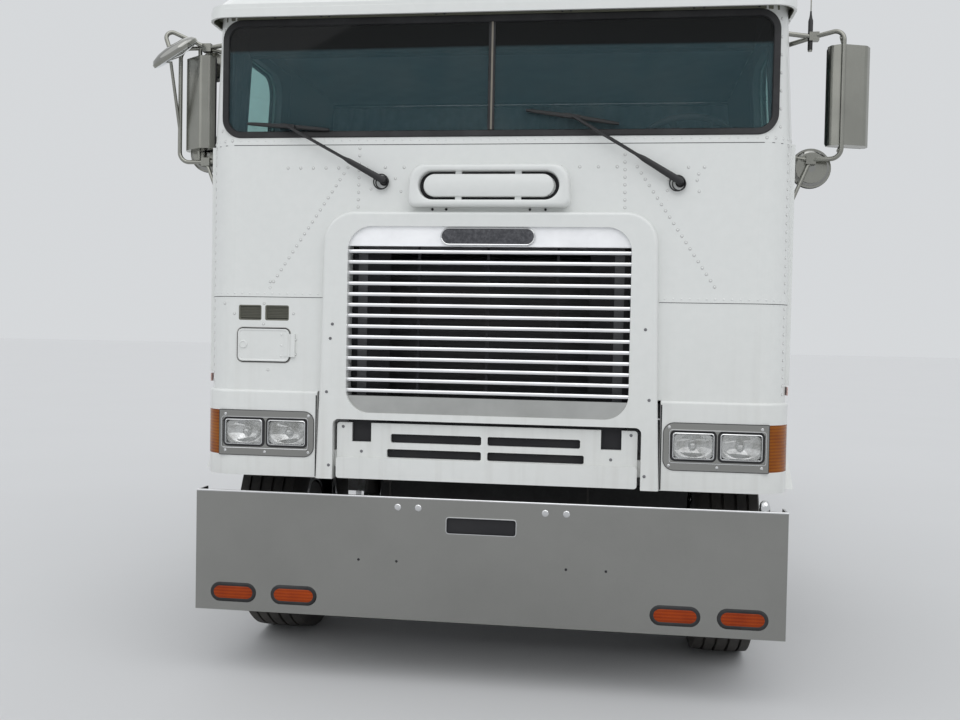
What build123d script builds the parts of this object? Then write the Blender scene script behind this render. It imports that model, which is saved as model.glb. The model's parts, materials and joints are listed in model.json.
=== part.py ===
from build123d import *
import math
import os

os.makedirs("parts", exist_ok=True)

# Cab-over truck tractor, in millimetres. +Z is up, the front faces -Y, +X is the driver's side.
# The origin is on the ground at the middle of the overall length. A place along the vehicle is
# written as s, the distance behind the foremost point, and y = s - LENGTH / 2.

# Driving sizes
LENGTH = 6900.0
MIRROR_REACH = 1550.0
CLEAR = 0.3
MOVE_GAP = 8.0

# Axles, tyres and wheels
TYRE_R = 520.0
TYRE_W = 280.0
RIM_SEAT_R = 286.0
WHEEL_OFFSET = 168.0
WHEEL_W = 226.0
HUB_BORE_R = 45.3
HAND_HOLE_R = 24.0
HAND_HOLE_AT = 226.0
FRONT_AXLE_S = 800.0
RAIL_END = LENGTH - 40.0
REAR_AXLES_S = (RAIL_END - 2020.0, RAIL_END - 700.0)
FRONT_MOUNT_X = 1195.0
DUAL_MOUNT_X = 911.0
KINGPIN_X = 876.0
KINGPIN_R = 25.0

# Frame and drive line
GEARBOX_END = 2260.0
RAIL_X = 432.0
RAIL_FLANGE = 89.0
RAIL_WALL = 9.0
RAIL_TOP = 950.0
RAIL_DEPTH = 270.0
RAIL_FRONT = 215.0

# Bumper
BUMPER_X = 1219.0
BUMPER_FACE = 5.0
BUMPER_LOW = 273.0
BUMPER_TOP = 781.0
BUMPER_WALL = 8.0
BUMPER_FLANGE = 22.0
BUMPER_RETURN = 105.0
BUMPER_LAMP_W = 184.0
BUMPER_LAMP_H = 66.0
BUMPER_LAMP_Z = 350.0

# Cab shell
CAB_X = 1225.0
CAB_TOP_X = 1192.0
CAB_FACE = 75.0
CAB_CORNER = 138.0
TOP_CORNER = 112.0
WALL = 50.0
SIDE_WALL = 60.0
SIDE_START = 215.0
CAB_BACK = 2860.0
CAB_TOP = 2800.0
BELT_Z = 2262.0
FACE_LOW = 1207.0
PANEL_LOW = 842.0
SKIRT_LOW = 1000.0
FLOOR_LOW = 1130.0
FLOOR_T = 60.0
ARCH_R = 620.0
ARCH_Z = 520.0
FLARE_T = 24.0

# Doors
DOOR_BACK = 930.0
DOOR_LOW = 1192.0
DOOR_HIGH = 2748.0
HINGE_X = 1233.0
HINGE_S = 219.0
HINGE_R = 7.7
GLASS_T = 8.0

# Cab tilt
PIVOT_S = 150.0
PIVOT_Z = 870.0
PIVOT_R = 15.0
TILT_X = -530.0
TILT_BASE = (280.0, 700.0)
TILT_TOP = (500.0, 1080.0)
TILT_EYE_W = 20.0
TILT_PIN_R = 15.0

# Fifth wheel
FIFTH_S = RAIL_END - 1560.0
FIFTH_PIVOT_Z = 1110.0
FIFTH_TOP = 1210.0
KINGPIN_JAW_R = 25.7


def y(s):
    """Place along the vehicle, as a Y coordinate."""
    return s - LENGTH / 2


def outline(points):
    """Flat face from (across, up, corner radius) rows."""
    flat = [(a, b) for a, b, r in points]
    radii = [r for a, b, r in points]
    if max(radii) == 0:
        return make_face(Polyline(*flat, close=True))
    return make_face(FilletPolyline(*flat, radius=radii, close=True))


def front_slab(points, s0, s1):
    """Solid with a front-view outline of (x, z, radius) rows, from s0 back to s1."""
    plane = Plane(origin=(0, y(s1), 0), x_dir=(1, 0, 0), z_dir=(0, -1, 0))
    return extrude(plane * outline(points), amount=s1 - s0)


def side_slab(points, x0, x1):
    """Solid with a side-view outline of (s, z, radius) rows, from x0 to x1."""
    plane = Plane(origin=(x0, 0, 0), x_dir=(0, 1, 0), z_dir=(1, 0, 0))
    rows = [(y(s), z, r) for s, z, r in points]
    return extrude(plane * outline(rows), amount=x1 - x0)


def plan_slab(points, z0, z1):
    """Solid with a plan outline of (x, s, radius) rows, from z0 up to z1."""
    rows = [(x, y(s), r) for x, s, r in points]
    return extrude(Plane(origin=(0, 0, z0)) * outline(rows), amount=z1 - z0)


def rows_of(low, high, radius):
    """Rectangle rows between two (across, up) corners, with one corner radius."""
    (a0, b0), (a1, b1) = low, high
    return [(a0, b0, radius), (a1, b0, radius), (a1, b1, radius), (a0, b1, radius)]


def block(x, s, z):
    """Box between pairs of x, s and z."""
    size = Box(x[1] - x[0], s[1] - s[0], z[1] - z[0])
    return Pos((x[0] + x[1]) / 2, y((s[0] + s[1]) / 2), (z[0] + z[1]) / 2) * size


def bar(start, end, radius):
    """Round bar between two (x, s, z) points."""
    a = Vector(start[0], y(start[1]), start[2])
    b = Vector(end[0], y(end[1]), end[2])
    return Part() + Solid.make_cylinder(radius, (b - a).length, Plane(origin=a, z_dir=b - a))


def bent_bar(points, radius, bend):
    """Round bar through (x, s, z) points, with bent corners of one radius."""
    route = [(x, y(s), z) for x, s, z in points]
    path = FilletPolyline(*route, radius=bend)
    section = Plane(origin=path @ 0, z_dir=path % 0) * Circle(radius)
    return sweep(section, path=path)


def both_sides(shape):
    """The shape and its mirror image across the vehicle."""
    return [shape, mirror(shape, about=Plane.YZ)]


def fused(shapes):
    """One part from touching or crossing shapes."""
    whole = Part()
    for shape in shapes:
        whole = whole + shape
    return whole


def save(name, shapes):
    """Write one sub-part."""
    solids = [solid for shape in shapes for solid in shape.solids()]
    body = Compound(children=solids)
    body.label = name
    export_step(body, f"parts/{name}.step")


# Tyres and wheels. Each is turned about X with its hub's mounting face at x = 0, outside at +x.

def tyre_ring(centre):
    """Road tyre with its middle at x = centre."""
    bead = WHEEL_W / 2 - 8
    side = TYRE_W / 2
    rows = [
        (centre - bead, RIM_SEAT_R + CLEAR, 0),
        (centre - side, 385, 70),
        (centre - side + 12, TYRE_R, 34),
        (centre + side - 12, TYRE_R, 34),
        (centre + side, 385, 70),
        (centre + bead, RIM_SEAT_R + CLEAR, 0),
    ]
    return revolve(outline(rows), axis=Axis.X)


def wheel_disc(holes):
    """Wheel whose rim lies inboard of its mounting face, with a ring of hand holes."""
    flange_r = RIM_SEAT_R + 19
    under_r = RIM_SEAT_R - 14
    inner = -WHEEL_OFFSET - WHEEL_W / 2
    outer = -WHEEL_OFFSET + WHEEL_W / 2
    disc_t = 11.0
    rows = [
        (inner - 8, flange_r, 0),
        (inner, flange_r, 0),
        (inner, RIM_SEAT_R, 0),
        (outer, RIM_SEAT_R, 0),
        (outer, flange_r, 0),
        (outer + 8, flange_r, 0),
        (outer + 8, under_r, 0),
        (outer - 30, under_r, 0),
        (-20, 182, 30),
        (0, 165, 0),
        (0, 100, 0),
        (-disc_t, 100, 0),
        (-disc_t, 158, 0),
        (-34, 174, 20),
        (outer - 48, under_r, 0),
        (inner - 8, under_r, 0),
    ]
    disc = revolve(outline(rows), axis=Axis.X)
    for index in range(holes):
        turn = math.radians(360.0 * index / holes)
        at = (-110, HAND_HOLE_AT * math.cos(turn), HAND_HOLE_AT * math.sin(turn))
        hole = Solid.make_cylinder(HAND_HOLE_R, 120, Plane(origin=at, z_dir=(1, 0, 0)))
        disc = disc - Part(hole.wrapped)
    return disc


def hub(cap_rows):
    """Hub with its brake drum and bearing bore, and the cap rows outside the mounting face."""
    rows = [
        (-200, HUB_BORE_R, 0),
        (-200, 75, 0),
        (-60, 75, 0),
        (-49, 90, 0),
        (-49, 195, 0),
        (-250, 195, 0),
        (-250, 210, 0),
        (-37, 210, 0),
        (-37, 160, 0),
        (-10, 160, 0),
        (-10, 104, 0),
    ]
    rows = rows + cap_rows + [(25, 0, 0), (25, HUB_BORE_R, 0)]
    return revolve(outline(rows), axis=Axis.X)


FRONT_CAP = [(12, 104, 4), (16, 82, 0), (62, 78, 12), (74, 45, 10), (76, 0, 0)]
REAR_CAP = [(60, 104, 6), (66, 92, 0), (92, 92, 4), (92, 60, 0), (112, 50, 8), (112, 0, 0)]


def placed(shape, mount_x, s, side):
    """A wheel part on the driver's side (1) or the other (-1)."""
    moved = Pos(mount_x, y(s), TYRE_R) * shape
    if side < 0:
        return mirror(moved, about=Plane.YZ)
    return moved


SIDES = [("left", 1), ("right", -1)]

for side_name, side in SIDES:
    front_tyre = tyre_ring(-WHEEL_OFFSET)
    save(f"tyre_front_{side_name}", [placed(front_tyre, FRONT_MOUNT_X, FRONT_AXLE_S, side)])
    front_wheel = wheel_disc(10) + hub(FRONT_CAP)
    save(f"wheel_front_{side_name}", [placed(front_wheel, FRONT_MOUNT_X, FRONT_AXLE_S, side)])

for axle_name, axle_s in zip(("mid", "rear"), REAR_AXLES_S):
    for side_name, side in SIDES:
        rings = [tyre_ring(-WHEEL_OFFSET), tyre_ring(WHEEL_OFFSET)]
        rings = [placed(ring, DUAL_MOUNT_X, axle_s, side) for ring in rings]
        save(f"tyres_{axle_name}_{side_name}", rings)
        dual = wheel_disc(5) + mirror(wheel_disc(5), about=Plane.YZ) + hub(REAR_CAP)
        save(f"wheels_{axle_name}_{side_name}", [placed(dual, DUAL_MOUNT_X, axle_s, side)])

# Front axle with its leaf springs, and the steering knuckles

BOSS_R = 45.0
BOSS_LOW = 460.0
BOSS_HIGH = 580.0
SPRING_X = 420.0
SPRING_EYES_S = (270.0, 1350.0)
ARM_S = 1000.0
ARM_X = 800.0
ARM_LOW = 415.0
ARM_T = 28.0


def front_axle():
    """Dropped beam with kingpin bosses, and a leaf spring pack over it on each side."""
    half = [
        (0, 470, 0), (640, 470, 60), (760, 548, 40), (KINGPIN_X, 562, 0),
        (KINGPIN_X, 478, 0), (790, 466, 40), (680, 388, 60), (0, 388, 0),
    ]
    beam = front_slab(half, FRONT_AXLE_S - 45, FRONT_AXLE_S + 45)
    pocket = front_slab([(0, 455, 0), (636, 455, 0), (672, 403, 0), (0, 403, 0)],
                        FRONT_AXLE_S - 46, FRONT_AXLE_S - 22)
    beam = beam - pocket - Pos(0, 68, 0) * pocket
    boss = bar((KINGPIN_X, FRONT_AXLE_S, BOSS_LOW), (KINGPIN_X, FRONT_AXLE_S, BOSS_HIGH), BOSS_R)
    bore = bar((KINGPIN_X, FRONT_AXLE_S, BOSS_LOW - 5), (KINGPIN_X, FRONT_AXLE_S, BOSS_HIGH + 5),
               KINGPIN_R + CLEAR)
    half_axle = beam + boss - bore
    front_eye, rear_eye = SPRING_EYES_S
    leaf_rows = [
        (front_eye, 640, 0), (520, 560, 300), (800, 535, 300), (1080, 560, 300), (rear_eye, 640, 0),
        (rear_eye, 600, 0), (1150, 530, 200), (960, 470, 0), (640, 470, 0), (450, 530, 200),
        (front_eye, 600, 0),
    ]
    leaves = side_slab(leaf_rows, SPRING_X - 42, SPRING_X + 42)
    eyes = [bar((SPRING_X - 42, s, 620), (SPRING_X + 42, s, 620), 34) for s in SPRING_EYES_S]
    hangers = [block((SPRING_X - 40, SPRING_X + 12), (s - 45, s + 45), (640, RAIL_TOP - RAIL_DEPTH))
               for s in SPRING_EYES_S]
    side = fused([half_axle, leaves] + eyes + hangers)
    return fused(both_sides(side))


save("front_axle", [front_axle()])


def knuckle():
    """Kingpin yoke, brake backing plate, spindle and steering arm on the driver's side."""
    plate_x = FRONT_MOUNT_X - 245
    top = BOSS_HIGH + 44
    pin = bar((KINGPIN_X, FRONT_AXLE_S, ARM_LOW), (KINGPIN_X, FRONT_AXLE_S, top + 4), KINGPIN_R)
    lugs = []
    for low, high in ((BOSS_HIGH + CLEAR, top), (ARM_LOW, BOSS_LOW - CLEAR)):
        lug = bar((KINGPIN_X, FRONT_AXLE_S, low), (KINGPIN_X, FRONT_AXLE_S, high), 42)
        web = block((KINGPIN_X, plate_x + 4), (FRONT_AXLE_S - 36, FRONT_AXLE_S + 36), (low, high))
        lugs = lugs + [lug, web]
    post = block((plate_x - 14, plate_x + 4), (FRONT_AXLE_S - 50, FRONT_AXLE_S + 50), (ARM_LOW, top))
    backing = bar((plate_x, FRONT_AXLE_S, TYRE_R), (plate_x + 10, FRONT_AXLE_S, TYRE_R), 188)
    spindle = bar((plate_x, FRONT_AXLE_S, TYRE_R), (FRONT_MOUNT_X + 20, FRONT_AXLE_S, TYRE_R),
                  HUB_BORE_R - CLEAR)
    shoulder = bar((plate_x, FRONT_AXLE_S, TYRE_R), (plate_x + 40, FRONT_AXLE_S, TYRE_R), 62)
    arm_rows = [
        (KINGPIN_X - 30, FRONT_AXLE_S + 10, 0), (KINGPIN_X + 30, FRONT_AXLE_S + 10, 0),
        (ARM_X + 28, ARM_S + 20, 20), (ARM_X - 28, ARM_S + 20, 20),
    ]
    arm = plan_slab(arm_rows, ARM_LOW, ARM_LOW + ARM_T)
    return fused([pin] + lugs + [post, backing, spindle, shoulder, arm])


left_knuckle = knuckle()
save("knuckle_left", [left_knuckle])
save("knuckle_right", [mirror(left_knuckle, about=Plane.YZ)])

ROD_LOW = ARM_LOW - CLEAR - 30.0
tie_rod = bar((-ARM_X, ARM_S, ROD_LOW + 15), (ARM_X, ARM_S, ROD_LOW + 15), 14)
tie_ends = both_sides(bar((ARM_X, ARM_S, ROD_LOW), (ARM_X, ARM_S, ROD_LOW + 30), 26))
save("tie_rod", [fused([tie_rod] + tie_ends)])

# Drive axles with their shafts, and the walking beams under them


CHAMBER_X = 240.0
CHAMBER_Z = TYRE_R + 125.0


def brake_chambers(s):
    """Spring brake chambers in front of an axle, each on its bracket."""
    spring = bar((CHAMBER_X, s - 235, CHAMBER_Z), (CHAMBER_X, s - 110, CHAMBER_Z), 72)
    band = bar((CHAMBER_X, s - 110, CHAMBER_Z), (CHAMBER_X, s - 62, CHAMBER_Z), 84)
    bracket = block((CHAMBER_X - 30, CHAMBER_X + 30), (s - 66, s), (TYRE_R + 40, CHAMBER_Z + 25))
    return both_sides(fused([spring, band, bracket]))


def drive_axles():
    """Two drive axles with round centre housings and brake chambers, joined by propeller shafts."""
    pieces = []
    for s in REAR_AXLES_S:
        pieces = pieces + brake_chambers(s)
        tube = bar((-DUAL_MOUNT_X + 270, s, TYRE_R), (DUAL_MOUNT_X - 270, s, TYRE_R), 68)
        ball = Pos(0, y(s), TYRE_R) * Sphere(200)
        nose = bar((0, s - 330, TYRE_R + 60), (0, s, TYRE_R + 60), 95)
        pieces = pieces + [tube, ball, nose]
        for side in (1, -1):
            plate = side * (DUAL_MOUNT_X - 245)
            end = side * (DUAL_MOUNT_X + 20)
            pieces.append(bar((plate - side * 30, s, TYRE_R), (plate + side * 10, s, TYRE_R), 188))
            pieces.append(bar((plate, s, TYRE_R), (end, s, TYRE_R), HUB_BORE_R - CLEAR))
    shaft_z = TYRE_R + 60
    pieces.append(bar((0, GEARBOX_END + CLEAR, 760), (0, GEARBOX_END + 80, 760), 62))
    pieces.append(bar((0, GEARBOX_END + 70, 760), (0, REAR_AXLES_S[0] - 320, shaft_z), 55))
    pieces.append(bar((0, REAR_AXLES_S[0], shaft_z), (0, REAR_AXLES_S[1] - 320, shaft_z), 45))
    return fused(pieces)


save("drive_axles", [drive_axles()])

BEAM_X = 520.0


def tandem_suspension():
    """Walking beams under the axles, with saddles hung from the rails between them."""
    middle = sum(REAR_AXLES_S) / 2
    first, last = REAR_AXLES_S
    low = TYRE_R - 68
    rows = [
        (first - 80, low - 10, 20), (first - 80, low - 90, 20), (middle, low - 160, 300),
        (last + 80, low - 90, 20), (last + 80, low - 10, 20), (last - 120, low - 10, 60),
        (middle + 120, low + 20, 60), (middle - 120, low + 20, 60), (first + 120, low - 10, 60),
    ]
    beam = side_slab(rows, BEAM_X - 38, BEAM_X + 38)
    shoes = [block((BEAM_X - 30, BEAM_X + 30), (s - 50, s + 50), (low - 20, low + 22))
             for s in REAR_AXLES_S]
    shoes = [shoe - bar((0, s, TYRE_R), (900, s, TYRE_R), 68) for shoe, s in zip(shoes, REAR_AXLES_S)]
    saddle = side_slab([(middle - 90, low, 0), (middle + 90, low, 0), (middle + 190, 700, 0),
                        (middle + 190, 900, 0), (middle - 190, 900, 0), (middle - 190, 700, 0)],
                       RAIL_X, RAIL_X + 50)
    axle_pin = bar((RAIL_X, middle, low - 60), (BEAM_X + 50, middle, low - 60), 50)
    step = block((RAIL_X, RAIL_X + 50), (middle - 90, middle + 90), (low - 110, low))
    side = fused([beam, saddle, axle_pin, step] + shoes)
    return both_sides(side)


save("tandem_suspension", tandem_suspension())

# Frame rails and cross-members, with the cab's pivot ears at the front

CROSSMEMBERS_S = (330.0, RAIL_END - 4360, RAIL_END - 3360, RAIL_END - 2560, RAIL_END - 1480,
                  RAIL_END - 1240, RAIL_END - 60)
CROSS_DEPTH = 130.0
EAR_X = (436.0, 456.0)


def frame_rails():
    """Two C-section rails, open inwards, joined by cross-members."""
    low = RAIL_TOP - RAIL_DEPTH
    rail = block((RAIL_X - RAIL_FLANGE, RAIL_X), (RAIL_FRONT, RAIL_END), (low, RAIL_TOP))
    channel = block((RAIL_X - RAIL_FLANGE, RAIL_X - RAIL_WALL), (RAIL_FRONT, RAIL_END),
                    (low + RAIL_WALL, RAIL_TOP - RAIL_WALL))
    rail = rail - channel
    ear = side_slab([(RAIL_FRONT + 130, 720, 0), (RAIL_FRONT + 130, 935, 0), (180, 904, 20),
                     (116, 904, 30), (116, 836, 30), (180, 836, 20)], RAIL_X, EAR_X[1])
    pin = bar((RAIL_X + 4, PIVOT_S, PIVOT_Z), (EAR_X[1] + 34, PIVOT_S, PIVOT_Z), PIVOT_R - CLEAR)
    horn = block((RAIL_X - RAIL_FLANGE, RAIL_X), (BUMPER_FACE + BUMPER_WALL, RAIL_FRONT + 5), (660, 750))
    side = fused([rail, ear, pin, horn])
    pieces = both_sides(side)
    base_s, base_z = TILT_BASE
    collar = bar((-RAIL_X, base_s, base_z), (TILT_X + TILT_EYE_W + CLEAR, base_s, base_z), 32)
    stub = bar((10 - RAIL_X, base_s, base_z), (TILT_X - TILT_EYE_W - 4, base_s, base_z), TILT_PIN_R)
    pieces = pieces + [collar, stub]
    inside = RAIL_X - RAIL_WALL
    for s in CROSSMEMBERS_S:
        cross_top = RAIL_TOP - RAIL_WALL
        cross_low = cross_top - CROSS_DEPTH
        web = block((-inside, inside), (s - 4, s + 4), (cross_low, cross_top))
        caps = [block((-inside, inside), (s - 40, s + 40), z)
                for z in ((cross_low, cross_low + 8), (cross_top - 8, cross_top))]
        pieces = pieces + [web] + caps
    mount = block((300, RAIL_X), (2660, 2780), (RAIL_TOP, FLOOR_LOW - CLEAR))
    return fused(pieces + both_sides(mount))


save("frame_rails", [frame_rails()])

# Bumper and its lamps

BUMPER_LAMPS_X = (788.0, 1052.0)


def stadium(x, z, width, height):
    """Rows of an oval with straight sides, on its front view."""
    r = height / 2 - 0.01
    return rows_of((x - width / 2, z - height / 2), (x + width / 2, z + height / 2), r)


def front_bumper():
    """Square bumper with return flanges, end returns, a number-plate slot and lamp holes."""
    back = BUMPER_FACE + BUMPER_WALL
    face = front_slab(rows_of((-BUMPER_X, BUMPER_LOW), (BUMPER_X, BUMPER_TOP), 0), BUMPER_FACE, back)
    pieces = [face]
    for low, high in ((BUMPER_TOP - BUMPER_WALL, BUMPER_TOP), (BUMPER_LOW, BUMPER_LOW + BUMPER_WALL)):
        pieces.append(block((-BUMPER_X, BUMPER_X), (BUMPER_FACE, BUMPER_FACE + BUMPER_FLANGE), (low, high)))
    end = block((BUMPER_X - BUMPER_WALL, BUMPER_X), (BUMPER_FACE, BUMPER_FACE + BUMPER_RETURN),
                (BUMPER_LOW, BUMPER_TOP))
    pieces = pieces + both_sides(end)
    bumper = fused(pieces)
    bumper = bumper - front_slab(rows_of((-143, 641), (143, 705), 10), 0, back + 1)
    for x in BUMPER_LAMPS_X:
        for side in (1, -1):
            hole = front_slab(stadium(side * x, BUMPER_LAMP_Z, BUMPER_LAMP_W, BUMPER_LAMP_H), 0, back + 1)
            bumper = bumper - hole
    return bumper


save("front_bumper", [front_bumper()])

bumper_lamps = []
for lamp_x in BUMPER_LAMPS_X:
    lamp = front_slab(stadium(lamp_x, BUMPER_LAMP_Z, BUMPER_LAMP_W, BUMPER_LAMP_H), 0, 34)
    bumper_lamps = bumper_lamps + both_sides(lamp)
save("bumper_lamps", bumper_lamps)

# Engine and radiator between the rails

engine = block((-290, 290), (480, 1700), (600, 1300))
gearbox = block((-190, 190), (1700, GEARBOX_END), (600, 900))
engine_feet = [block((-RAIL_X + RAIL_WALL + 3, RAIL_X - RAIL_WALL - 3), (s - 40, s + 40),
                     (RAIL_TOP - RAIL_DEPTH + RAIL_WALL, 740)) for s in (700, 1600)]
save("engine_block", [fused([engine, gearbox] + engine_feet)])

RADIATOR_FRONT = 250.0
RADIATOR_TOP = 1780.0
radiator_core = block((-470, 470), (RADIATOR_FRONT, RADIATOR_FRONT + 80), (RAIL_TOP, RADIATOR_TOP))
radiator_tanks = [block((-480, 480), (RADIATOR_FRONT - 8, RADIATOR_FRONT + 84), z)
                  for z in ((RAIL_TOP, RAIL_TOP + 90), (RADIATOR_TOP - 90, RADIATOR_TOP))]
save("radiator", [fused([radiator_core] + radiator_tanks)])

# Fuel tanks, battery box with steps, and air tanks

TANK_R = 305.0
TANK_X = 765.0
TANK_Z = 640.0
TANK_S = (2040.0, 3340.0)
tank = bar((TANK_X, TANK_S[0], TANK_Z), (TANK_X, TANK_S[1], TANK_Z), TANK_R)
tank = fillet(tank.edges().filter_by(GeomType.CIRCLE), 28)
filler = bar((TANK_X + 130, TANK_S[0] + 160, TANK_Z + 240), (TANK_X + 130, TANK_S[0] + 160, TANK_Z + 318), 52)
tank_step = block((TANK_X + 120, 1215), (TANK_S[0] + 330, TANK_S[0] + 880), (TANK_Z + 214, TANK_Z + 236))
tank_step_legs = [block((TANK_X + 150, 1170), (s, s + 30), (TANK_Z + 80, TANK_Z + 216))
                  for s in (TANK_S[0] + 380, TANK_S[0] + 800)]
tank_straps = [bar((TANK_X, s, TANK_Z), (TANK_X, s + 60, TANK_Z), TANK_R + 4) for s in (2250, 3050)]
tank_brackets = [block((RAIL_X, TANK_X - 200), (s - 10, s + 70), (TANK_Z - 250, RAIL_TOP - 40))
                 for s in (2250, 3050)]
save("fuel_tanks", both_sides(fused([tank, filler, tank_step] + tank_step_legs + tank_straps + tank_brackets)))

battery_box = block((RAIL_X, 1120), (1480, 1980), (560, 940))
battery_steps = [block((1110, 1215), (1480, 1980), z) for z in ((560, 590), (910, 940))]
low_step = [block((1000, 1215), (1480, 1980), (330, 360)),
            block((1000, 1030), (1480, 1500), (330, 570)),
            block((1000, 1030), (1960, 1980), (330, 570))]
save("battery_boxes", both_sides(fused([battery_box] + battery_steps + low_step)))

AIR_TANK_X = 210.0
AIR_TANK_Z = 550.0
AIR_TANK_R = 115.0
AIR_TANK_S = (REAR_AXLES_S[0] - 1280, REAR_AXLES_S[0] - 600)
RAIL_LOW = RAIL_TOP - RAIL_DEPTH
air_tank = bar((AIR_TANK_X, AIR_TANK_S[0], AIR_TANK_Z), (AIR_TANK_X, AIR_TANK_S[1], AIR_TANK_Z), AIR_TANK_R)
air_hangers = []
for s in (AIR_TANK_S[0], AIR_TANK_S[1] - 80):
    air_hangers.append(block((AIR_TANK_X - 10, RAIL_X - RAIL_WALL), (s, s + 40), (RAIL_LOW - 12, RAIL_LOW)))
    air_hangers.append(block((AIR_TANK_X - 5, AIR_TANK_X + 5), (s, s + 40), (AIR_TANK_Z + 90, RAIL_LOW)))
save("air_tanks", both_sides(fused([air_tank] + air_hangers)))

# Deck plate, exhaust stack, mud flaps and tail lamps

save("deck_plate", [block((-RAIL_X, RAIL_X), (CAB_BACK + 240, FIFTH_S - 800), (RAIL_TOP, RAIL_TOP + 8))])

STACK_X = -900.0
STACK_S = 3040.0
STACK_TOP = 3400.0
stack_pipe = bent_bar([(STACK_X, STACK_S, 960), (STACK_X, STACK_S, STACK_TOP - 110),
                       (STACK_X, STACK_S + 150, STACK_TOP - 40)], 62, 150)
stack_pipe = stack_pipe & block((STACK_X - 80, STACK_X + 80), (STACK_S - 80, STACK_S + 200), (900, STACK_TOP))
stack_muffler = bar((STACK_X, STACK_S, 1300), (STACK_X, STACK_S, 2450), 130)
stack_muffler = fillet(stack_muffler.edges().filter_by(GeomType.CIRCLE), 30)
stack_bands = [bar((STACK_X, STACK_S, z), (STACK_X, STACK_S, z + 35), r)
               for z, r in ((1340, 134), (2375, 134), (2470, 70), (1240, 70))]
stack_post = block((STACK_X + 60, STACK_X + 190), (STACK_S - 20, STACK_S + 20), (1500, 1560))
stack_mast = block((STACK_X + 170, STACK_X + 230), (STACK_S - 30, STACK_S + 30), (980, 2420))
stack_arm = block((STACK_X + 60, STACK_X + 190), (STACK_S - 20, STACK_S + 20), (2300, 2360))
stack_bracket = block((STACK_X - 60, -RAIL_X), (STACK_S - 50, STACK_S + 50), (950, 990))
save("exhaust_stack", [fused([stack_pipe, stack_muffler, stack_bracket, stack_post, stack_mast, stack_arm]
                             + stack_bands)])

flap_hanger = block((RAIL_X - RAIL_FLANGE, 1215), (RAIL_END, LENGTH), (880, 920))
flap = block((590, 1212), (LENGTH - 24, LENGTH - 16), (260, 884))
save("mud_flaps", both_sides(fused([flap_hanger, flap])))

tail_lamps = []
for lamp_x in (120.0, 260.0):
    tail = bar((lamp_x, RAIL_END - 56, 876), (lamp_x, RAIL_END - 20, 876), 52)
    tail_lamps = tail_lamps + both_sides(tail)
save("tail_lamps", tail_lamps)

# Fifth wheel: base on the rails and the tilting plate

FIFTH_EAR_X = (330.0, 370.0)


def fifth_wheel_base():
    """Mounting plate and two pivot brackets."""
    plate = block((-RAIL_X, RAIL_X), (FIFTH_S - 300, FIFTH_S + 300), (RAIL_TOP, RAIL_TOP + 12))
    rows = [(FIFTH_S - 160, RAIL_TOP + 12, 0), (FIFTH_S - 50, FIFTH_PIVOT_Z + 45, 45),
            (FIFTH_S + 50, FIFTH_PIVOT_Z + 45, 45), (FIFTH_S + 160, RAIL_TOP + 12, 0)]
    bracket = side_slab(rows, *FIFTH_EAR_X)
    hole = bar((FIFTH_EAR_X[0] - 5, FIFTH_S, FIFTH_PIVOT_Z), (FIFTH_EAR_X[1] + 5, FIFTH_S, FIFTH_PIVOT_Z), 25)
    return fused([plate] + both_sides(bracket - hole))


def fifth_wheel_plate():
    """Top plate with its throat and ramps, and ears that carry the pivot pins."""
    low = FIFTH_TOP - 28
    rows = [
        (-300, FIFTH_S - 440, 90), (300, FIFTH_S - 440, 90), (457, FIFTH_S - 180, 120),
        (457, FIFTH_S + 250, 40), (330, FIFTH_S + 480, 40), (150, FIFTH_S + 480, 20),
        (23, FIFTH_S + 120, 0), (-23, FIFTH_S + 120, 0), (-150, FIFTH_S + 480, 20),
        (-330, FIFTH_S + 480, 40), (-457, FIFTH_S + 250, 40), (-457, FIFTH_S - 180, 120),
    ]
    plate = plan_slab(rows, low, FIFTH_TOP)
    jaw = bar((0, FIFTH_S, low - 60), (0, FIFTH_S, FIFTH_TOP + 1), KINGPIN_JAW_R)
    slot = block((-23, 23), (FIFTH_S, FIFTH_S + 130), (low - 60, FIFTH_TOP + 1))
    box_ribs = block((-200, 200), (FIFTH_S - 170, FIFTH_S + 110), (low - 42, low))
    ribs = []
    for side in (1, -1):
        x0 = side * (FIFTH_EAR_X[1] + 4)
        x1 = side * (FIFTH_EAR_X[1] + 34)
        ear_rows = [(FIFTH_S - 110, low, 0), (FIFTH_S - 45, FIFTH_PIVOT_Z - 40, 40),
                    (FIFTH_S + 45, FIFTH_PIVOT_Z - 40, 40), (FIFTH_S + 110, low, 0)]
        ribs.append(side_slab(ear_rows, min(x0, x1), max(x0, x1)))
        ribs.append(bar((x1, FIFTH_S, FIFTH_PIVOT_Z), (side * FIFTH_EAR_X[0], FIFTH_S, FIFTH_PIVOT_Z),
                        25 - CLEAR))
    return fused([plate, box_ribs] + ribs) - jaw - slot


save("fifth_wheel_base", [fifth_wheel_base()])
save("fifth_wheel_plate", [fifth_wheel_plate()])

# Cab shell

GRILLE_OUT = [(-714, PANEL_LOW, 0), (714, PANEL_LOW, 0), (701, 1240, 0), (688, 1964, 130),
              (-688, 1964, 130), (-701, 1240, 0)]
GRILLE_IN = rows_of((-586, 1124), (586, 1902), 100)
LOWER_OPENING = [(-640, PANEL_LOW - 10, 0), (640, PANEL_LOW - 10, 0), (640, 1095, 25), (-640, 1095, 25)]
SURROUND_FACE = 38.0
WINDSHIELD = ((-1140.0, 2287.0), (1140.0, 2761.0))
ACCESS = ((-1070.0, 1329.0), (-845.0, 1467.0))
ACCESS_FACE = 70.0
ACCESS_T = 12.0
ACCESS_HINGE_X = ACCESS[1][0] + 3
ACCESS_HINGE_S = ACCESS_FACE - 3
ACCESS_HINGE_R = 5.0


def corner_rows(x, s0, s1, radius):
    """Plan rows of a box with rounded front corners."""
    return [(-x, s0, radius), (x, s0, radius), (x, s1, 0), (-x, s1, 0)]


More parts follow.
